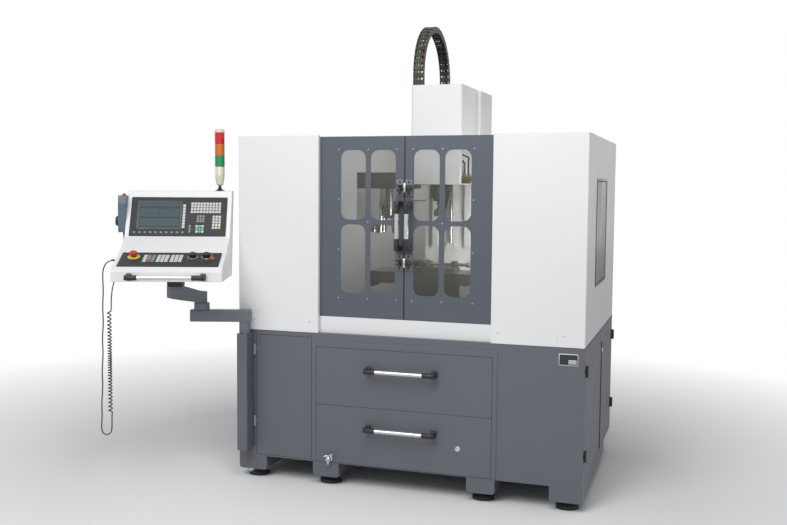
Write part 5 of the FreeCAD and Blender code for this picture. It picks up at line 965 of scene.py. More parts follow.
@dataclass
class Studio:
    """The camera at the photograph's angle, plain soft lamps and a pale floor.

    Attributes:
        stand: Where the camera stands, in metres.
        yaw, pitch, roll: Its turn to the left, down and clockwise, in degrees.
        focal_mm, sensor_mm: Its focal length and the width of its sensor.
        shift: Its shift across and up, as a share of the sensor's width.
        reach: How far it sees, in metres.
        floor_half: Half the floor's side, in metres.
        lamps: The soft lamps.
    """

    stand: Point = (1.6763, -4.809, 1.501)
    yaw: float = 19.10
    pitch: float = 4.18
    roll: float = 0.36
    focal_mm: float = 44.6
    shift: tuple[float, float] = (0.0264, -0.0062)
    sensor_mm: float = 36.0
    reach: float = 60.0
    floor_half: float = 20.0
    # Over the machine, down its front, on its head and inside its hood.
    lamps: tuple[Lamp, ...] = (
        Lamp("key_lamp", (-0.6, -4.3, 4.2), (0.2, 0.0, 1.2), 2.4, 112.0),
        Lamp("wash_lamp", (0.95, -2.2, 3.6), (0.8, -0.34, 1.4), 1.2, 28.0),
        Lamp("head_lamp", (1.75, 0.1, 3.1), (0.4, 0.3, 1.8), 0.8, 1.3),
        Lamp("work_lamp", (0.88, -0.13, 1.2), (0.3, 0.55, 1.0), 0.3, 8.0),
    )

    def camera(self) -> None:
        """Sets up the camera."""
        yaw, pitch, roll = (math.radians(angle) for angle in (self.yaw, self.pitch, self.roll))
        aim = Matrix.Rotation(yaw, 4, "Z") @ Matrix.Rotation(math.pi / 2 - pitch, 4, "X")
        data = bpy.data.cameras.new("view")
        data.lens, data.sensor_width = self.focal_mm, self.sensor_mm
        data.clip_end = self.reach
        data.shift_x, data.shift_y = self.shift
        turn = aim @ Matrix.Rotation(roll, 4, "Z")
        bpy.context.scene.camera = add_object("view", data, moved(*self.stand, turn))

    def world(self) -> None:
        """Sets a dim light all round that shows as white to the camera and in reflections."""
        world = bpy.data.worlds.new("studio")
        world.use_nodes = True
        tree = world.node_tree
        tree.nodes.clear()
        rays = add_node(tree, "LightPath").outputs
        seen = rays["Is Camera Ray"]
        for ray in ("Is Glossy Ray", "Is Transmission Ray"):
            either = {0: seen, 1: rays[ray]}
            seen = add_node(tree, "Math", {"operation": "MAXIMUM"}, either).outputs["Value"]
        dim = {"Color": (0.97, 0.985, 1.0, 1.0), "Strength": 0.36}
        plain = {"Color": (1.0, 1.0, 1.0, 1.0), "Strength": 1.0}
        around, white = (add_node(tree, "Background", light).outputs[0] for light in (dim, plain))
        mixed = add_node(tree, "MixShader", links={0: seen, 1: around, 2: white}).outputs[0]
        add_node(tree, "OutputWorld", links={"Surface": mixed})
        bpy.context.scene.world = world

    def floor(self) -> None:
        """Lays a wide pale floor that runs out into the white background."""
        mesh = bmesh.new()
        bmesh.ops.create_grid(mesh, x_segments=1, y_segments=1, size=self.floor_half)
        data = bpy.data.meshes.new("floor")
        mesh.to_mesh(data)
        mesh.free()
        data.materials.append(FLOOR.material())
        add_object("floor", data)

    def build(self) -> None:
        """Sets up all of the studio."""
        bpy.context.scene.view_settings.view_transform = "Standard"
        self.camera()
        self.world()
        for lamp in self.lamps:
            lamp.hang()
        self.floor()


# ---------------------------------------------------------------- curly lead


@dataclass
class CurlyLead(Assembly):
    """The handwheel's curly lead, from the gland under the pendant down and back up to the unit.

    Attributes:
        thickness: Diameter of the lead.
        coil_radius: Radius of the curls at the middle of the lead.
        turns: How many curls there are.
        per_turn: Points for each curl.
        length: The real length of the lead, all curls pulled straight; not used.
        lead, axis, tail: The way down, the coil's middle line, and the way up to the unit.
    """

    body: Optional[str] = "pendant_body"
    place: Matrix = PENDANT
    thickness: float = 6.0
    coil_radius: float = 8.5
    turns: int = 32
    per_turn: int = 14
    length: float = 3246.0
    lead: tuple[Point, ...] = (
        (-284, -70, 1133), (-312, -70, 1133), (-338, -69, 1105), (-346, -67, 1060),
        (-342, -65, 985), (-349, -63, 905), (-345, -61, 825), (-353, -60, 745),
        (-349, -59, 665), (-357, -58, 585), (-353, -57, 505), (-361, -57, 425),
        (-359, -57, 360), (-362.4, -57, 318), (-362.4, -57, 280.2), (-347.2, -58, 265),
        (-327.2, -58, 265), (-312, -58.5, 280.2), (-310.5, -59.16, 322.4),
        (-310.5, -59.16, 358.4),
    )
    axis: tuple[Point, ...] = tuple((-319, -52, 374 + 169 * step) for step in range(4))
    tail: tuple[Point, ...] = (
        (-310.5, -44.84, 896.6), (-310.5, -44.84, 931.6), (-307, -38, 990), (-295, -18, 1045),
        (-284, 18, 1097), (-279, 56, 1147), (-278, 90, 1192), (-281, 115, 1230),
        (-281, 115, 1263),
    )

    def placed(self, points: Iterable[Point]) -> list[Vector]:
        """Gives points of the pendant in the frame's metres."""
        return [self.place @ Vector(point) for point in points]

    def spline(self, name: str, points: Sequence[Point]) -> bpy.types.Curve:
        """Makes a smooth curve whose control points are given.

        Args:
            name: The curve's name.
            points: Its control points, in metres.

        Returns:
            The curve, with no thickness yet.
        """
        curve = bpy.data.curves.new(name, "CURVE")
        curve.dimensions = "3D"
        line = curve.splines.new("NURBS")
        line.points.add(len(points) - 1)
        for spot, point in zip(line.points, points):
            spot.co = (*point, 1.0)
        line.order_u = 3
        line.use_endpoint_u = True
        return curve

    def read_line(self, points: Sequence[Point]) -> list[Vector]:
        """Reads the smooth line of some control points back as a row of points.

        Args:
            points: The control points, in metres.

        Returns:
            The points along the line.
        """
        guide = add_object("coil_guide", self.spline("coil_guide", points))
        guide.data.resolution_u = 24
        bpy.context.view_layer.update()
        seen = guide.evaluated_get(bpy.context.evaluated_depsgraph_get())
        mesh = bpy.data.meshes.new_from_object(seen)
        line = [vert.co.copy() for vert in mesh.vertices]
        bpy.data.meshes.remove(mesh)
        bpy.data.objects.remove(guide)
        return line

    def curls(self) -> list[Vector]:
        """Winds the curls round the coil's own line.

        Returns:
            The points of the curls, in metres.
        """
        line = self.read_line(self.placed(self.axis))
        across, beside = (
            (self.place.to_3x3() @ Vector(way)) * self.coil_radius for way in ((1, 0, 0), (0, 1, 0))
        )
        count = self.turns * self.per_turn
        points = []
        for index in range(count + 1):
            angle = 2 * math.pi * index / self.per_turn
            spot = index / count * (len(line) - 1)
            low = min(int(spot), len(line) - 2)
            middle = line[low].lerp(line[low + 1], spot - low)
            points.append(middle + across * math.cos(angle) + beside * math.sin(angle))
        return points

    def build(self) -> None:
        """Makes the lead as one piece, and its two strain reliefs."""
        route = self.placed(self.lead) + self.curls() + self.placed(self.tail)
        curve = self.spline("curly_lead", route)
        curve.bevel_depth = self.thickness / 2000
        curve.bevel_resolution = curve.resolution_u = 3
        curve.use_fill_caps = True
        curve.materials.append(CORD_SKIN.material())
        piece = add_object("curly_lead", curve)
        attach(piece, self.body)
        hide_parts("cord_lead", "cord_coil", "cord_tail")
        LOG.info("curly_lead: %d points", len(route))
        relief = self.shape()
        first, last = Vector(self.lead[0]), Vector(self.tail[-1])
        relief.rod(first, first + Vector((-16, 0, 0)), 5.6, 3.9, 0.6, 16)
        relief.rod(last, last + Vector((0, 0, -24)), 5.6, 3.8, 0.6, 16)
        self.keep(relief, "lead_strain_reliefs", HARD_RUBBER)


# ---------------------------------------------------------------- handles, screws and strips


@dataclass(kw_only=True)
class BarHandle(Assembly):
    """A bar handle: a bright tube between two moulded ends.

    Attributes:
        name: What its two pieces are called after.
        length: Over both ends.
        turn: Its own axes: x along the bar, z out of the face, its middle on the face.
        reach: From the face to the tube's middle.
        nose: From the bar's end to the sleeve's start.
    """

    name: str
    length: float
    turn: Matrix
    reach: float = 50.0
    tube_radius: float = 11.0
    end_width: float = 26.0
    end_height: float = 34.0
    sleeve_radius: float = 12.5
    sleeve_length: float = 36.0
    nose: float = 9.0

    def end(self, shape: Shape, side: int) -> None:
        """Adds one moulded end: its foot, its neck and a sleeve with three lips.

        Args:
            shape: The mesh to add to.
            side: -1 or 1, which end of the bar.
        """
        outer, inner = side * self.length / 2, side * (self.length / 2 - self.end_width)
        low, high = sorted((outer, inner))
        half, sleeve, reach = self.end_height / 2, self.sleeve_radius, self.reach
        shape.block((low, -half, 0), (high, half, reach * 0.36), 5.0, segments=3)
        top = (high, sleeve, reach + sleeve * 0.6)
        shape.block((low, -sleeve, reach * 0.3), top, 5.5, segments=3)
        stop = (inner - side * self.sleeve_length, 0, reach)
        shape.rod((outer - side * self.nose, 0, reach), stop, sleeve, rounding=3.0)
        for step in (8, 17, 26):
            spot = inner - side * step
            shape.rod((spot - 1.5, 0, reach), (spot + 1.5, 0, reach), sleeve + 0.7, rounding=0.7)

    def build(self) -> None:
        """Makes the two ends and the tube."""
        place = self.place @ self.turn
        ends, bar = Shape(place), Shape(place)
        for side in (-1, 1):
            self.end(ends, side)
        self.keep(ends, self.name + "_ends", GRIP_PLASTIC)
        half = self.length / 2 - self.end_width - self.sleeve_length + 4
        bar.rod((-half, 0, self.reach), (half, 0, self.reach), self.tube_radius, sides=32)
        self.keep(bar, self.name + "_tube", HANDLE_ALLOY, "handle_alloy")


@dataclass
class Fasteners:
    """Small pan-head screws on the sheet panels.

    Attributes:
        radius: Radius of a screw's head.
        rise: How far the head stands.
    """

    radius: float
    rise: float

    def row(self, name: str, body: str, spots: Iterable[Matrix], finish: Finish) -> None:
        """Sets screws at some places.

        Args:
            name: The piece's name.
            body: The CAD body that it rides on.
            spots: Each screw's axes, z out of the panel.
            finish: What the screws are made of.
        """
        heads = Shape()
        section = ((0, 0.5), (0.45, 0.5), (0.5, 1), (0.8, 0.8), (1, 0.25), (1, 0))
        profile = [(across * self.radius, up * self.rise) for across, up in section]
        for spot in spots:
            heads.lathe(profile, spot, 12)
        heads.finish(name, body, finish, "bright_steel")


@dataclass(kw_only=True)
class RubberStrip(Assembly):
    """A straight rubber strip between two corners.

    Attributes:
        name: The piece's name.
        low: Its lowest corner.
        high: Its highest corner.
        rounding: Radius of its edges.
    """

    name: str
    low: Point
    high: Point
    rounding: float = 0.5

    def build(self) -> None:
        """Makes the strip."""
        strip = self.shape()
        strip.block(self.low, self.high, self.rounding)
        self.keep(strip, self.name, HARD_RUBBER)


# ---------------------------------------------------------------- cabinet, hood and head


@dataclass
class Cabinet(Assembly):
    """The floor cabinet's drawer handles, bare rating plate, drain cock and side door lip.

    Attributes:
        drawer_face, face: Y of the drawers' fronts and of the cabinet's front.
        handle_heights: Z of the upper and the lower drawer's handle.
        plate_low, plate_high: Corners of the rating plate, as X and Z.
        margin: Width of the plate's bright border.
        lip_low, lip_high: Corners of the lip between the side doors.
        drain: Where the cock stands, and drain_reach how far its middle stands out.
    """

    drawer_face: float = -1.0
    face: float = 3.0
    handle_heights: tuple[float, float] = (602.0, 312.0)
    handle_length: float = 360.0
    plate_low: Point = (755.0, 686.0)
    plate_high: Point = (845.0, 741.0)
    plate_thick: float = 1.2
    margin: float = 4.0
    lip_low: Point = (871.0, 699.6, 130.0)
    lip_high: Point = (878.6, 702.4, 700.0)
    drain: Point = (-371.0, -0.9, 141.0)
    drain_reach: float = 24.5

    def drain_cock(self) -> None:
        """Makes the chrome cock at the drawer's lower corner: flange, body, spout and wings."""
        x, y, z = self.drain
        cock = self.shape()
        radii = (0, 15, 15, 12.5, 12.5, 9, 9, 12, 12, 9, 0)
        rises = (0, 0, 3, 4, 9.5, 11, 16, 18, 31, 33, 33)
        cock.lathe(zip(radii, rises), moved(x, y, z, FRONT), 24)
        middle = y - self.drain_reach
        cock.rod((x, middle, z - 8), (x, middle, z - 24), 7.0, rounding=1.0, sides=16)
        cock.rod((x, middle, z + 8), (x, middle, z + 20), 4.5, sides=12)
        for side in (-1, 1):
            start, end = (x, middle, z + 18), (x + side * 24, middle - 2, z + 22 + side * 7)
            cock.rod(start, end, 3.6, 5.0, rounding=1.5, sides=12)
        cock.finish("drain_cock", "lower_drawer_body", LOCK_CHROME, "bright_steel")

    def rating_plate(self) -> None:
        """Makes the plate: a satin sheet with a dark field, a paler field and four rivets."""
        (left, bottom), (right, top), margin = self.plate_low, self.plate_high, self.margin
        front = self.face - self.plate_thick
        sheet, field = self.shape(), self.shape()
        base, raised = moved(0, self.face, 0, FRONT), moved(0, front + 0.1, 0, FRONT)
        sheet.plate((left, bottom), (right, top), self.plate_thick, 3.0, base, 0.3)
        pale_low = ((left + right) / 2, bottom + 2 * margin)
        sheet.plate(pale_low, (right - 2 * margin, (bottom + top) / 2), 0.5, 1.0, raised)
        self.keep(sheet, "rating_plate", PLATE_SATIN, "bright_steel")
        dark_low, dark_high = (left + margin, bottom + margin), (right - margin, top - margin)
        field.plate(dark_low, dark_high, 0.3, 1.5, raised)
        self.keep(field, "rating_plate_field", PLATE_INK)
        corners = [(x, z) for x in (left + 2, right - 2) for z in (bottom + 2, top - 2)]
        spots = [moved(x, front, z, FRONT) for x, z in corners]
        Fasteners(1.6, 0.8).row("rating_plate_rivets", "machine_frame", spots, ZINC)

    def build(self) -> None:
        """Makes the drawer handles and the small fittings."""
        for drawer, height in zip(("upper_drawer", "lower_drawer"), self.handle_heights):
            BarHandle(
                name=drawer + "_handle",
                body=drawer + "_body",
                node=drawer + "_handle",
                length=self.handle_length,
                turn=moved(0, self.drawer_face, height, FRONT),
            ).build()
        self.rating_plate()
        self.drain_cock()
        RubberStrip(name="side_door_lip", low=self.lip_low, high=self.lip_high).build()


@dataclass
class Hood(Assembly):
    """The sheet hood's small screws, the seal round its side window and its two joints.

    Attributes:
        screws: X and Z of each screw on the front.
        side: X of the right wall.
        seal_low, seal_high: Corners of the window's seal, as Y and Z.
        joints: The name, the corners and the rounding of each joint.
    """

    screws: tuple[Point, ...] = (
        (-784.0, 823.0), (-483.0, 823.0), (471.5, 820.0), (746.0, 812.5), (776.0, 823.5),
    )
    side: float = 875.0
    seal_low: Point = (327.0, 1020.0)
    seal_high: Point = (786.0, 1545.0)
    seal_width: float = 15.0
    seal_corner: float = 15.0
    seal_rise: float = 2.9
    joints: tuple[tuple[str, Point, Point, float], ...] = (
        ("hood_foot_seal", (873.0, 4.0, 768.0), (877.0, 1259.0, 772.0), 0.6),
        ("rear_wall_joint", (-345.0, 1243.0, 1415.5), (60.0, 1244.5, 1419.5), 0.4),
    )

    def build(self) -> None:
        """Sets the screws, the seal and the joints."""
        spots = [moved(x, 0, z, FRONT) for x, z in self.screws]
        Fasteners(3.6, 1.6).row("hood_screws", "machine_frame", spots, LOCK_CHROME)
        seal, turn = self.shape(), moved(self.side, 0, 0, RIGHT)
        ring = (self.seal_low, self.seal_high, self.seal_rise, self.seal_corner, turn)
        seal.plate(*ring, hole=self.seal_width)
        self.keep(seal, "side_window_seal", HARD_RUBBER)
        for name, low, high, rounding in self.joints:
            RubberStrip(name=name, low=low, high=high, rounding=rounding).build()


@dataclass
class HeadServices(Assembly):
    """What hangs on the head: a brass air manifold with its hoses, and a jointed coolant nozzle.

    Attributes:
        manifold: Middle of the manifold's foot on the head cover.
        nozzle_top, nozzle_tip: Where the nozzle starts and ends.
        segments: How many ball joints it has.
    """

    body: Optional[str] = "head_body"
    manifold: Point = (180.0, 445.0, 1540.0)
    hose_radius: float = 4.5
    nozzle_top: Point = (112.0, 478.0, 1513.0)
    nozzle_tip: Point = (74.0, 508.0, 1392.0)
    segments: int = 9

    def air(self) -> None:
        """Makes the manifold on the head cover's right side, its fittings and its hoses."""
        x, y, z = self.manifold
        brass, hoses = self.shape(), self.shape()
        brass.block((x, y - 17, z - 22), (x + 44, y + 17, z + 22), 2.0)
        brass.rod((x + 44, y, z), (x + 52, y, z), 8.0, sides=6)
        for offset, top in ((12, 84), (32, 112)):
            foot, knee = Vector((x + offset, y, z + 34)), Vector((x + offset, y, z + top))
            brass.rod((x + offset, y, z + 22), foot, 7.0, sides=6)
            hoses.tube((foot, knee, knee + Vector((-offset - 1, 0, 14))), self.hose_radius)
        self.keep(brass, "air_manifold", BRASS, "bright_steel")
        self.keep(hoses, "air_hoses", HARD_RUBBER)

    def nozzle(self) -> None:
        """Makes the coolant nozzle: a row of ball joints from the head's underside to its tip."""
        start, end = Vector(self.nozzle_top), Vector(self.nozzle_tip)
        knee = Vector((end.x + 26, end.y - 18, (start.z + end.z) / 2))
        shares = [index / self.segments for index in range(self.segments + 1)]
        line = [start.lerp(knee, share).lerp(knee.lerp(end, share), share) for share in shares]
        joints = self.shape()
        for low, high in zip(line, line[1:]):
            joints.rod(low, low.lerp(high, 0.92), 9.5, 7.5, 1.0, 16)
        joints.rod(end, end + (end - knee).normalized() * 22, 6.5, 3.5, 0.6, 16)
        self.keep(joints, "coolant_nozzle", GRIP_PLASTIC)

    def build(self) -> None:
        """Makes both."""
        self.air()
        self.nozzle()


# ---------------------------------------------------------------- sliding doors


class Hand(Enum):
    """Which of the two sliding doors, as the side of the seam that it lies on."""

    LEFT = -1
    RIGHT = 1


@dataclass
class SlidingDoor(Assembly):
    """One sliding door's handle, its catches across the seam and the screws round its windows.

    The left half of a catch has two cheeks with a slot between them. The right half has a lug, a
    tongue that enters the slot and a bright keeper plate beside the seam.

    Attributes:
        hand: Which door it is.
        handle_x: From the seam to the handle's middle.
        face: Y of the door's front.
        plate_reach: The two edges of a catch's plate, from the seam.
        lug_reach: The two edges of its cheeks or its lug, from the seam.
        bolt_rise: How far the plate's two screws stand above and below the catch's middle.
        tongue_reach: X of the tongue's two ends.
        seam: Lower and upper end of the lip over the seam.
        screws: X and Z of each screw round the windows, on the right door.
    """

    hand: Hand = Hand.LEFT
    slot: str = "motor_black"
    handle_x: float = 24.0
    handle_middle: float = 1311.0
    handle_length: float = 242.0
    face: float = 27.3
    catch_heights: tuple[float, float] = (1134.0, 1495.0)
    plate_reach: tuple[float, float] = (4.0, 42.0)
    plate_half: float = 39.0
    plate_thick: float = 6.0
    lug_reach: tuple[float, float] = (12.0, 34.0)
    lug_half: float = 15.0
    lug_front: float = -2.7
    slot_half: float = 7.3
    tongue_radius: float = 6.8
    tongue_y: float = 9.3
    keeper_half: float = 22.0
    bolt_rise: float = 28.0
    tongue_reach: tuple[float, float] = (-20.0, 48.0)
    seam: tuple[float, float] = (855.0, 1742.0)
    screws: tuple[Point, ...] = (
        (40.0, 949.0), (40.0, 1681.0), (187.0, 949.0), (187.0, 1326.0), (187.0, 1681.0),
        (340.0, 949.0), (340.0, 1190.0), (340.0, 1439.0), (340.0, 1681.0),
    )

    def __post_init__(self) -> None:
        """Takes the door's own body and node."""
        self.body, self.node = self.called("door_body"), self.called("door_fittings")

    def called(self, ending: str) -> str:
        """Gives a name of this door's hand."""
        return f"{self.hand.name.lower()}_{ending}"

    def plate(self, shape: Shape, height: float) -> None:
        """Adds one catch's back plate.

        Args:
            shape: The mesh to add to.
            height: The catch's middle.
        """
        inner, outer = sorted(self.hand.value * reach for reach in self.plate_reach)
        low, high = (inner, height - self.plate_half), (outer, height + self.plate_half)
        shape.plate(low, high, self.plate_thick, 5.0, moved(0, self.face, 0, FRONT), 1.5)

    def lugs(self, shape: Shape, height: float) -> None:
        """Adds the cheeks of a left catch or the lug and tongue of a right one.

        Args:
            shape: The mesh to add to.
            height: The catch's middle.
        """
        inner, outer = sorted(self.hand.value * reach for reach in self.lug_reach)
        half, slot = self.lug_half, self.slot_half
        parts = {Hand.LEFT: ((-half, -slot), (slot, half)), Hand.RIGHT: ((-half, half),)}
        for low, high in parts[self.hand]:
            corner = (inner, self.lug_front, height + low)
            shape.block(corner, (outer, self.face - 5, height + high), 1.5)
        if self.hand is Hand.RIGHT:
            start, end = ((x, self.tongue_y, height) for x in self.tongue_reach)
            shape.rod(start, end, self.tongue_radius, rounding=2.5)

    def bolts(self, shape: Shape, height: float) -> None:
        """Adds the two screws that hold a catch's plate.

        Args:
            shape: The mesh to add to.
            height: The catch's middle.
        """
        middle = self.hand.value * sum(self.lug_reach) / 2
        for step in (-self.bolt_rise, self.bolt_rise):
            spot = moved(middle, self.face - self.plate_thick, height + step, FRONT)
            shape.lathe(((0, 3), (3.5, 2.6), (5, 1.2), (5, 0)), spot, 16)

    def keeper(self, shape: Shape, height: float) -> None:
        """Adds the bright keeper of a right catch, upright beside the seam.

        Args:
            shape: The mesh to add to.
            height: The catch's middle.
        """
        low = (2.8, self.lug_front - 0.8, height - self.keeper_half)
        shape.block(low, (self.lug_reach[0] + 0.5, 6, height + self.keeper_half), 1.2)

    def handle(self) -> None:
        """Makes the upright handle beside the seam."""
        upright = FRONT @ Matrix.Rotation(math.radians(90), 4, "Z")
        BarHandle(
            name=self.called("door_handle"),
            body=self.body,
            node=self.node,
            length=self.handle_length,
            turn=moved(self.hand.value * self.handle_x, self.face, self.handle_middle, upright),
        ).build()

    def build(self) -> None:
        """Makes the handle, the catches, the screws and, on the right door, the seam's lip."""
        self.handle()
        parts = [
            (self.called("catch_plates"), CATCH_COAT, None, self.plate),
            (self.called("catch_lugs"), MOTOR_BLACK, None, self.lugs),
            (self.called("catch_screws"), SPINDLE_BLACK, "bright_steel", self.bolts),
        ]
        if self.hand is Hand.RIGHT:
            parts.append(("catch_keepers", HANDLE_ALLOY, "bright_steel", self.keeper))
            low, high = (-3.2, self.face - 0.9, self.seam[0]), (3.2, self.face - 0.1, self.seam[1])
            lip = RubberStrip(body=self.body, name="seam_seal", low=low, high=high, rounding=0.2)
            lip.build()
        for name, finish, slot, add in parts:
            shape = self.shape()
            for height in self.catch_heights:
                add(shape, height)
            self.keep(shape, name, finish, slot)
        spots = [moved(self.hand.value * x, self.face, z, FRONT) for x, z in self.screws]
        Fasteners(3.2, 1.6).row(self.called("pane_screws"), self.body, spots, PLATE_SATIN)


# ---------------------------------------------------------------- cable chain


@dataclass
class CableChain(Assembly):
    """The energy chain over the head: linked plates, cross bars and coloured cables.

    Attributes:
        middle_x: X of its middle line.
        radius: Of the middle line's bend.
        front: Y of the front leg, which stands on the head.
        low: Z of its front foot.
        leg: Length of each straight leg, as far as the front foot's height.
        rear_low: Z of its rear foot.
        links: How many links there are.
        plate: Thickness of a side plate.
        cables: Each cable's colour, its place across the chain and towards the outside of the
            bend, its radius and the hex code of its skin.
    """

    body: Optional[str] = None
    node: str = "cable_chain"
    slot: str = "chain_black"
    middle_x: float = -58.0
    width: float = 54.0
    height: float = 35.0
    radius: float = 263.0
    front: float = 446.0
    low: float = 2025.0
    leg: float = 58.0
    rear_low: float = 2021.0
    links: int = 27
    plate: float = 4.0
    cables: tuple[tuple[str, float, float, float, str], ...] = (
        ("green", -13.0, 8.0, 5.0, "#4A7A58"),
        ("yellow", -1.0, 8.5, 4.0, "#A8954A"),
        ("red", 11.0, 8.0, 4.0, "#8E4A42"),
        ("blue", -8.0, -4.0, 5.0, "#44607E"),
        ("black", 6.0, -5.0, 5.5, "#1C1C1E"),
    )

    def spot(self, travel: float) -> Matrix:
        """Finds a link's own axes, z along the chain.

        Args:
            travel: The way along the chain's middle line from its foot on the head.

        Returns:
            The matrix of those axes.
        """
        arc = math.pi * self.radius
        bent = min(max(travel - self.leg, 0.0), arc)
        angle = bent / self.radius
        y = self.front + self.radius * (1 - math.cos(angle))
        z = self.low + self.radius * math.sin(angle) + min(travel, self.leg)
        z -= max(travel - self.leg - arc, 0.0)
        return moved(self.middle_x, y, z, Matrix.Rotation(-angle, 4, "X"))

    def link(self, shape: Shape, turn: Matrix, length: float) -> None:
        """Adds one link: two side plates with their pins, and two cross bars.

        Args:
            shape: The mesh to add to.
            turn: The link's own axes, z along the chain.
            length: The link's length.
        """
        half, edge = self.height / 2 - 0.8, self.width / 2
        for side in (-1, 1):
            low, high = sorted((side * edge, side * (edge - self.plate)))
            shape.block((low, -half, -length / 2), (high, half, length / 2), 1.6, turn, 1)
            pin = ((low - 0.2, 0, length * 0.28), (high + 0.2, 0, length * 0.28))
            shape.rod(*pin, 8.0, sides=10, turn=turn)
            y, bar = side * (half - 2.6), length * 0.30
            shape.block((-edge + 2, y - 1.6, -bar), (edge - 2, y + 1.6, bar), 0.8, turn, 1)

    def draw(
        self, mesh: bmesh.types.BMesh, rim: Sequence[bmesh.types.BMEdge], lift: float
    ) -> list[bmesh.types.BMEdge]:
        """Draws a ring of edges out along Z.

        Args:
            mesh: The mesh that it is in.
            rim: Its edges.
            lift: How far it goes up.

        Returns:
            The edges of the ring at the far end.
        """
        grown = bmesh.ops.extrude_edge_only(mesh, edges=rim)["geom"]
        verts = {item for item in grown if isinstance(item, bmesh.types.BMVert)}
        bmesh.ops.translate(mesh, verts=list(verts), vec=(0, 0, lift))
        edges = (item for item in grown if isinstance(item, bmesh.types.BMEdge))
        return [edge for edge in edges if verts.issuperset(edge.verts)]

    def cable(self, x: float, y: float, radius: float) -> Shape:
        """Draws one cable up the front leg, round the bend and down the rear leg.

        Args:
            x: Its place across the chain.
            y: Its place towards the outside of the bend.
            radius: Its radius.

        Returns:
            The cable's mesh.
        """
        shape, top = self.shape(), self.low + self.leg
        foot = moved(self.middle_x + x, self.front - y, self.low + 0.5)
        made = bmesh.ops.create_circle(shape.mesh, segments=10, radius=radius, matrix=foot)
        rim = list({edge for vert in made["verts"] for edge in vert.link_edges})
        rim = self.draw(shape.mesh, rim, self.leg - 1)
        bend = {"cent": (0, self.front + self.radius, top), "axis": (1, 0, 0)}
        bend |= {"angle": -math.pi, "steps": 36}
        spun = bmesh.ops.spin(shape.mesh, geom=rim, **bend)["geom_last"]
        rim = [item for item in spun if isinstance(item, bmesh.types.BMEdge)]
        self.draw(shape.mesh, rim, -self.leg)
        return shape

    def build(self) -> None:
        """Makes the links and the cables, which bend between the frame and the head."""
        total = self.leg + math.pi * self.radius + self.leg + self.low - self.rear_low
        pitch = total / self.links
        shape = self.shape()
        for index in range(self.links):
            self.link(shape, self.spot(pitch * (index + 0.5)), pitch - 0.6)
        pieces = [self.keep(shape, "chain_links", CHAIN_NYLON)]
        for colour, x, y, radius, code in self.cables:
            name = colour + "_cable"
            skin = Moulding(name + "_skin", code, 0.45)
            pieces.append(self.keep(self.cable(x, y, radius), name, skin))
        for piece in pieces:
            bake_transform(piece)


# ---------------------------------------------------------------- pendant

# The caps of the keys, by the letters of a KeyField's plan.
CAPS: dict[str, Finish] = {
    "p": KEY_PLASTIC,
    "d": DULL_KEY,
    "t": TEAL_KEY,
    "y": YELLOW_PLASTIC,
    "r": RED_KEY,
    "g": GREEN_KEY,
}


@dataclass(frozen=True)
class KeyField:
    """A block of equal keys.

    Attributes:
        plan: The caps of each column from its lowest key up, as letters of CAPS.
        pitch: From one key to the next.
        corner: The lower left corner of the first key, on the panel's own x and y.
        cap: Width and height of a key, or None where only the panel's gap parts the keys.
    """

    plan: tuple[str, ...]
    pitch: float
    corner: Point
    cap: Optional[Point] = None

    def places(self) -> Iterator[tuple[str, float, float]]:
        """Gives each key's letter and its lower left corner."""
        left, bottom = self.corner
        for column, letters in enumerate(self.plan):
            for row, letter in enumerate(letters):
                yield letter, left + column * self.pitch, bottom + row * self.pitch


@dataclass
class KeyPanel(Assembly):
    """A flat face plate with blocks of keys.

    Attributes:
        name: What its plate and keys are called after.
        half_width, height, thick: Size of the plate.
        gap: Between two keys.
        rise: How far a key stands out of the plate.
        rounding: Radius of a key's edges.
        fields: The blocks of keys.
    """

    body: Optional[str] = "pendant_body"
    slot: str = "panel_black"
    name: str = "panel"
    half_width: float = 241.5
    height: float = 200.0
    thick: float = 3.0
    gap: float = 2.5
    rise: float = 2.0
    rounding: float = 1.0
    fields: tuple[KeyField, ...] = ()

    def keys(self) -> None:
        """Makes one piece of all keys that share a finish, numbered in order of first use."""
        shapes: dict[str, Shape] = defaultdict(self.shape)
        for field in self.fields:
            wide, tall = field.cap or (field.pitch - self.gap,) * 2
            for letter, x, y in field.places():
                low, high = (x, y, self.thick - 0.5), (x + wide, y + tall, self.thick + self.rise)
                shapes[letter].block(low, high, self.rounding, segments=1)
        for index, (letter, shape) in enumerate(shapes.items()):
            self.keep(shape, f"{self.name}_keys_{index}", CAPS[letter])

    def build(self) -> None:
        """Makes the plate and the keys."""
        plate, size = self.shape(), (self.half_width, self.height)
        plate.plate((-self.half_width, 0), size, self.thick, 5.0, rounding=0.8)
        self.keep(plate, self.name + "_plate", PANEL_FILM)
        self.keys()


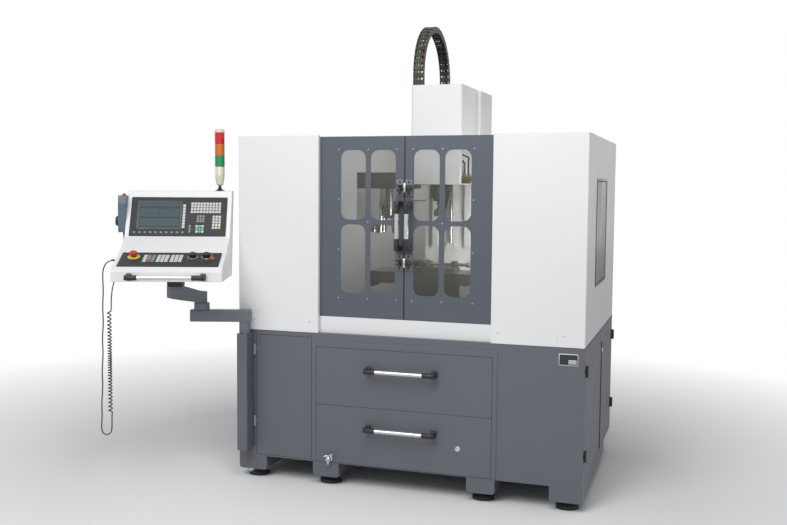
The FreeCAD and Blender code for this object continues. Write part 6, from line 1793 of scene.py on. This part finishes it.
@dataclass
class OperatorPanel(KeyPanel):
    """The upper panel: a screen in its bezel, soft keys, and letter, number and edit keys."""

    node: str = "operator_panel"
    place: Matrix = PENDANT @ tilted(40.0 + 5.0 * math.cos(math.radians(64.6)), 1245.52, 64.6)
    name: str = "operator"
    height: float = 214.0
    fields: tuple[KeyField, ...] = (
        KeyField(("pppp",) * 10, 15.3, (60, 126)),  # letter keys
        KeyField(("ppppp", "ppppp", "ypppp"), 15.0, (171, 40)),  # number keys
        KeyField(("ddd",) * 3, 14.0, (92, 75)),  # edit keys
        KeyField(("ptp", "ttt", "ptp"), 14.5, (89, 19)),  # arrow keys
        KeyField(("ddd",), 14.5, (54, 19)),  # shift keys
        KeyField(("pppppppp",), 16.5, (20, 44)),  # soft keys
        KeyField(("d",) * 10, 26.8, (-222, 16), (13, 9)),  # menu keys
    )
    screen_low: Point = (-199.0, 46.0)
    screen_high: Point = (8.0, 184.0)
    rim: float = 9.0

    def build(self) -> None:
        """Makes the plate and the keys, then the bezel and the screen."""
        super().build()
        place = self.place @ moved(0, 0, self.thick - 0.5)
        bezel, glass = Shape(place), Shape(place)
        low, high = Vector(self.screen_low), Vector(self.screen_high)
        rim, lap = Vector((self.rim, self.rim)), Vector((1, 1))
        bezel.plate(low - rim, high + rim, 2.2, 6.0, hole=self.rim)
        self.keep(bezel, "screen_bezel", BEZEL_PLASTIC)
        glass.plate(low - lap, high + lap, 1.0, 1.0)
        glass.map_plan(low, high)
        self.keep(glass, "screen", SCREEN)


@dataclass
class MachinePanel(KeyPanel):
    """The lower panel: three blocks of keys, the stop button's ring, knob dials and lamps.

    Attributes:
        stop: Middle of the stop button.
        ring_radius: Of the yellow ring round it, and stem_radius of the hole in the ring.
        knobs: X of each override knob, and knob_up their height on the panel.
        knob_radius: Of a knob.
        lamp_up: Height of the lamps under the knobs.
    """

    node: str = "machine_panel"
    place: Matrix = PENDANT @ tilted(-220.0, 1114.0, 21.1)
    name: str = "machine"
    height: float = 155.0
    rounding: float = 1.2
    fields: tuple[KeyField, ...] = (
        KeyField(("pppp", "rddd", "gddd"), 20.0, (-130, 48)),  # jog keys
        KeyField(("pppp",) * 3, 20.0, (-65, 48)),  # axis keys
        KeyField(("pppp",) * 3, 20.0, (1, 48)),  # mode keys
    )
    stop: Point = (-179.0, 106.0)
    ring_radius: float = 30.0
    stem_radius: float = 10.6
    knobs: tuple[float, float] = (105.0, 171.0)
    knob_up: float = 105.0
    knob_radius: float = 19.0
    lamp_up: float = 60.0

    def ring(self, shape: Shape, section: Sequence[Point], spot: Point) -> None:
        """Adds a ring on the plate.

        Args:
            shape: The mesh to add to.
            section: Radius and rise over the plate of each corner of its closed section.
            spot: Its middle.
        """
        profile = [(radius, self.thick + rise) for radius, rise in (*section, section[0])]
        shape.lathe(profile, moved(*spot, 0), 40)

    def dials(self) -> None:
        """Makes the bright rings under the knobs, and their scales."""
        rings, scale = self.shape(), self.shape()
        inner, outer = self.knob_radius + 1.0, self.knob_radius + 4.5
        section = ((inner, -0.4), (inner, 1.0), (outer - 0.5, 1.0), (outer, 0.5), (outer, -0.4))
        low = (-0.6, outer + 1.5, self.thick - 0.4)
        high = (0.6, outer + 5.0, self.thick + 0.25)
        for x in self.knobs:
            self.ring(rings, section, (x, self.knob_up))
            for degrees in range(-135, 136, 27):
                turn = Matrix.Rotation(math.radians(degrees), 4, "Z")
                scale.block(low, high, turn=moved(x, self.knob_up, 0, turn))
        self.keep(rings, "knob_rings", HANDLE_ALLOY)
        self.keep(scale, "knob_scales", KEY_PLASTIC)

    def lamps(self, name: str, offset: float, finish: Finish) -> None:
        """Makes one lamp under each knob.

        Args:
            name: The piece's name.
            offset: Its place beside the knob's middle.
            finish: What its lens is made of.
        """
        shape, thick = self.shape(), self.thick
        lens = ((0, thick + 2.5), (2.5, thick + 2), (3.6, thick), (3.6, thick - 1))
        for x in self.knobs:
            shape.lathe(lens, moved(x + offset, self.lamp_up, 0), 20)
        self.keep(shape, name, finish)

    def build(self) -> None:
        """Makes the plate and the keys, then the stop button's ring, the dials and the lamps."""
        super().build()
        ring, stem, rim = self.shape(), self.stem_radius, self.ring_radius
        section = ((stem, -1), (stem, 1.2), (rim - 2, 1.5), (rim, 0.6), (rim, -1))
        self.ring(ring, section, self.stop)
        self.keep(ring, "stop_ring", YELLOW_PLASTIC)
        self.dials()
        self.lamps("red_lamps", -17.0, LAMP_RED)
        self.lamps("green_lamps", 4.0, LAMP_GREEN)


@dataclass
class SignalTower(Assembly):
    """The signal tower: a black neck, a pale base, four lenses with rings, and a pale cap.

    Attributes:
        radius: Radius of its lenses.
        lenses: The name, lower end, upper end and finish of each lens.
    """

    body: Optional[str] = "pendant_body"
    node: str = "signal_tower"
    place: Matrix = PENDANT @ Matrix.Translation((196.0, 175.23, 1473.15))
    slot: str = "lens"
    radius: float = 25.0
    lenses: tuple[tuple[str, float, float, Finish], ...] = (
        ("cream_lens", 78.0, 122.0, LAMP_CLEAR),
        ("green_lens", 122.0, 180.0, LAMP_GREEN),
        ("amber_lens", 180.0, 238.0, LAMP_AMBER),
        ("red_lens", 238.0, 296.0, LAMP_RED),
    )

    def storey(self, name: str, finish: Finish, profile: Sequence[Point], steps: int = 32) -> None:
        """Makes one turned storey of the tower.

        Args:
            name: The piece's name.
            finish: What it is made of.
            profile: Radius and height of each corner, from its foot to its top.
            steps: How many faces go round it.
        """
        shape = self.shape()
        shape.lathe(profile, steps=steps)
        self.keep(shape, name, finish)

    def build(self) -> None:
        """Makes each storey of the tower."""
        full = self.radius
        neck = ((0, 0), (full, 0), (full, 2), (full * 0.6, 6), (7.5, 16), (7.5, 30), (0, 30))
        self.storey("tower_neck", KNOB_BLACK, neck)
        sides = ((full * 0.4, 27), (full * 0.72, 33), (full - 1, 72), (full - 1, 78))
        self.storey("tower_base", LAMP_BASE, ((0, 26), *sides, (0, 78)))
        for name, low, high, finish in self.lenses:
            ring = ((0, low), (full - 2, low), (full - 2, low + 3))
            lens = ((full, low + 4), (full, high - 1), (full - 1, high), (0, high))
            self.storey(name, finish, (*ring, *lens), 48)
        sides = ((full, 296), (full, 306), (full - 3, 312), (full - 9, 314.6))
        self.storey("tower_cap", LAMP_BASE, ((0, 296), *sides, (0, 315)))


@dataclass
class Pendant(Assembly):
    """What the pendant carries besides its panels: its handle and the handwheel's red button."""

    body: Optional[str] = "pendant_body"
    place: Matrix = PENDANT
    handle_length: float = 376.0
    handle_spot: Point = (0.0, -245.0, 1068.5)
    button_spot: Point = (-281.0, 126.0, 1448.0)

    def build(self) -> None:
        """Makes the handle and the button."""
        BarHandle(
            name="pendant_handle",
            body=self.body,
            node="pendant_handle",
            place=self.place,
            length=self.handle_length,
            turn=moved(*self.handle_spot, FRONT),
        ).build()
        button = self.shape()
        profile = ((0, 9.6), (6, 9.4), (9.4, 7), (9.4, -0.5))
        button.lathe(profile, moved(*self.button_spot), 24)
        self.keep(button, "handwheel_button", STOP_RED, "stop_red")


# ---------------------------------------------------------------- whole machine


def dress_nodes() -> None:
    """Gives every CAD node that stays in view the finish of its material slot."""
    for row in frame["record"]["subparts"]:
        node = frame["nodes"][row["node"]]
        finish = NODE_FINISH.get(row["node"], SLOT_FINISH[row["material_slot"]])
        node.data.materials.clear()
        node.data.materials.append(finish.material())
        LOG.info("%s: %s", row["node"], finish.name)


def main() -> None:
    """Dresses the CAD nodes, then builds the studio and every sub-assembly in order."""
    logging.basicConfig(level=logging.INFO, format="%(message)s")
    dress_nodes()
    Studio().build()
    parts: list[Assembly] = [
        CurlyLead(),
        Cabinet(),
        Hood(),
        HeadServices(),
        SlidingDoor(hand=Hand.LEFT),
        SlidingDoor(hand=Hand.RIGHT),
        CableChain(),
        OperatorPanel(),
        MachinePanel(),
        SignalTower(),
        Pendant(),
    ]
    for part in parts:
        part.build()
        LOG.info("%s is built", type(part).__name__)


if __name__ == "__main__":
    main()
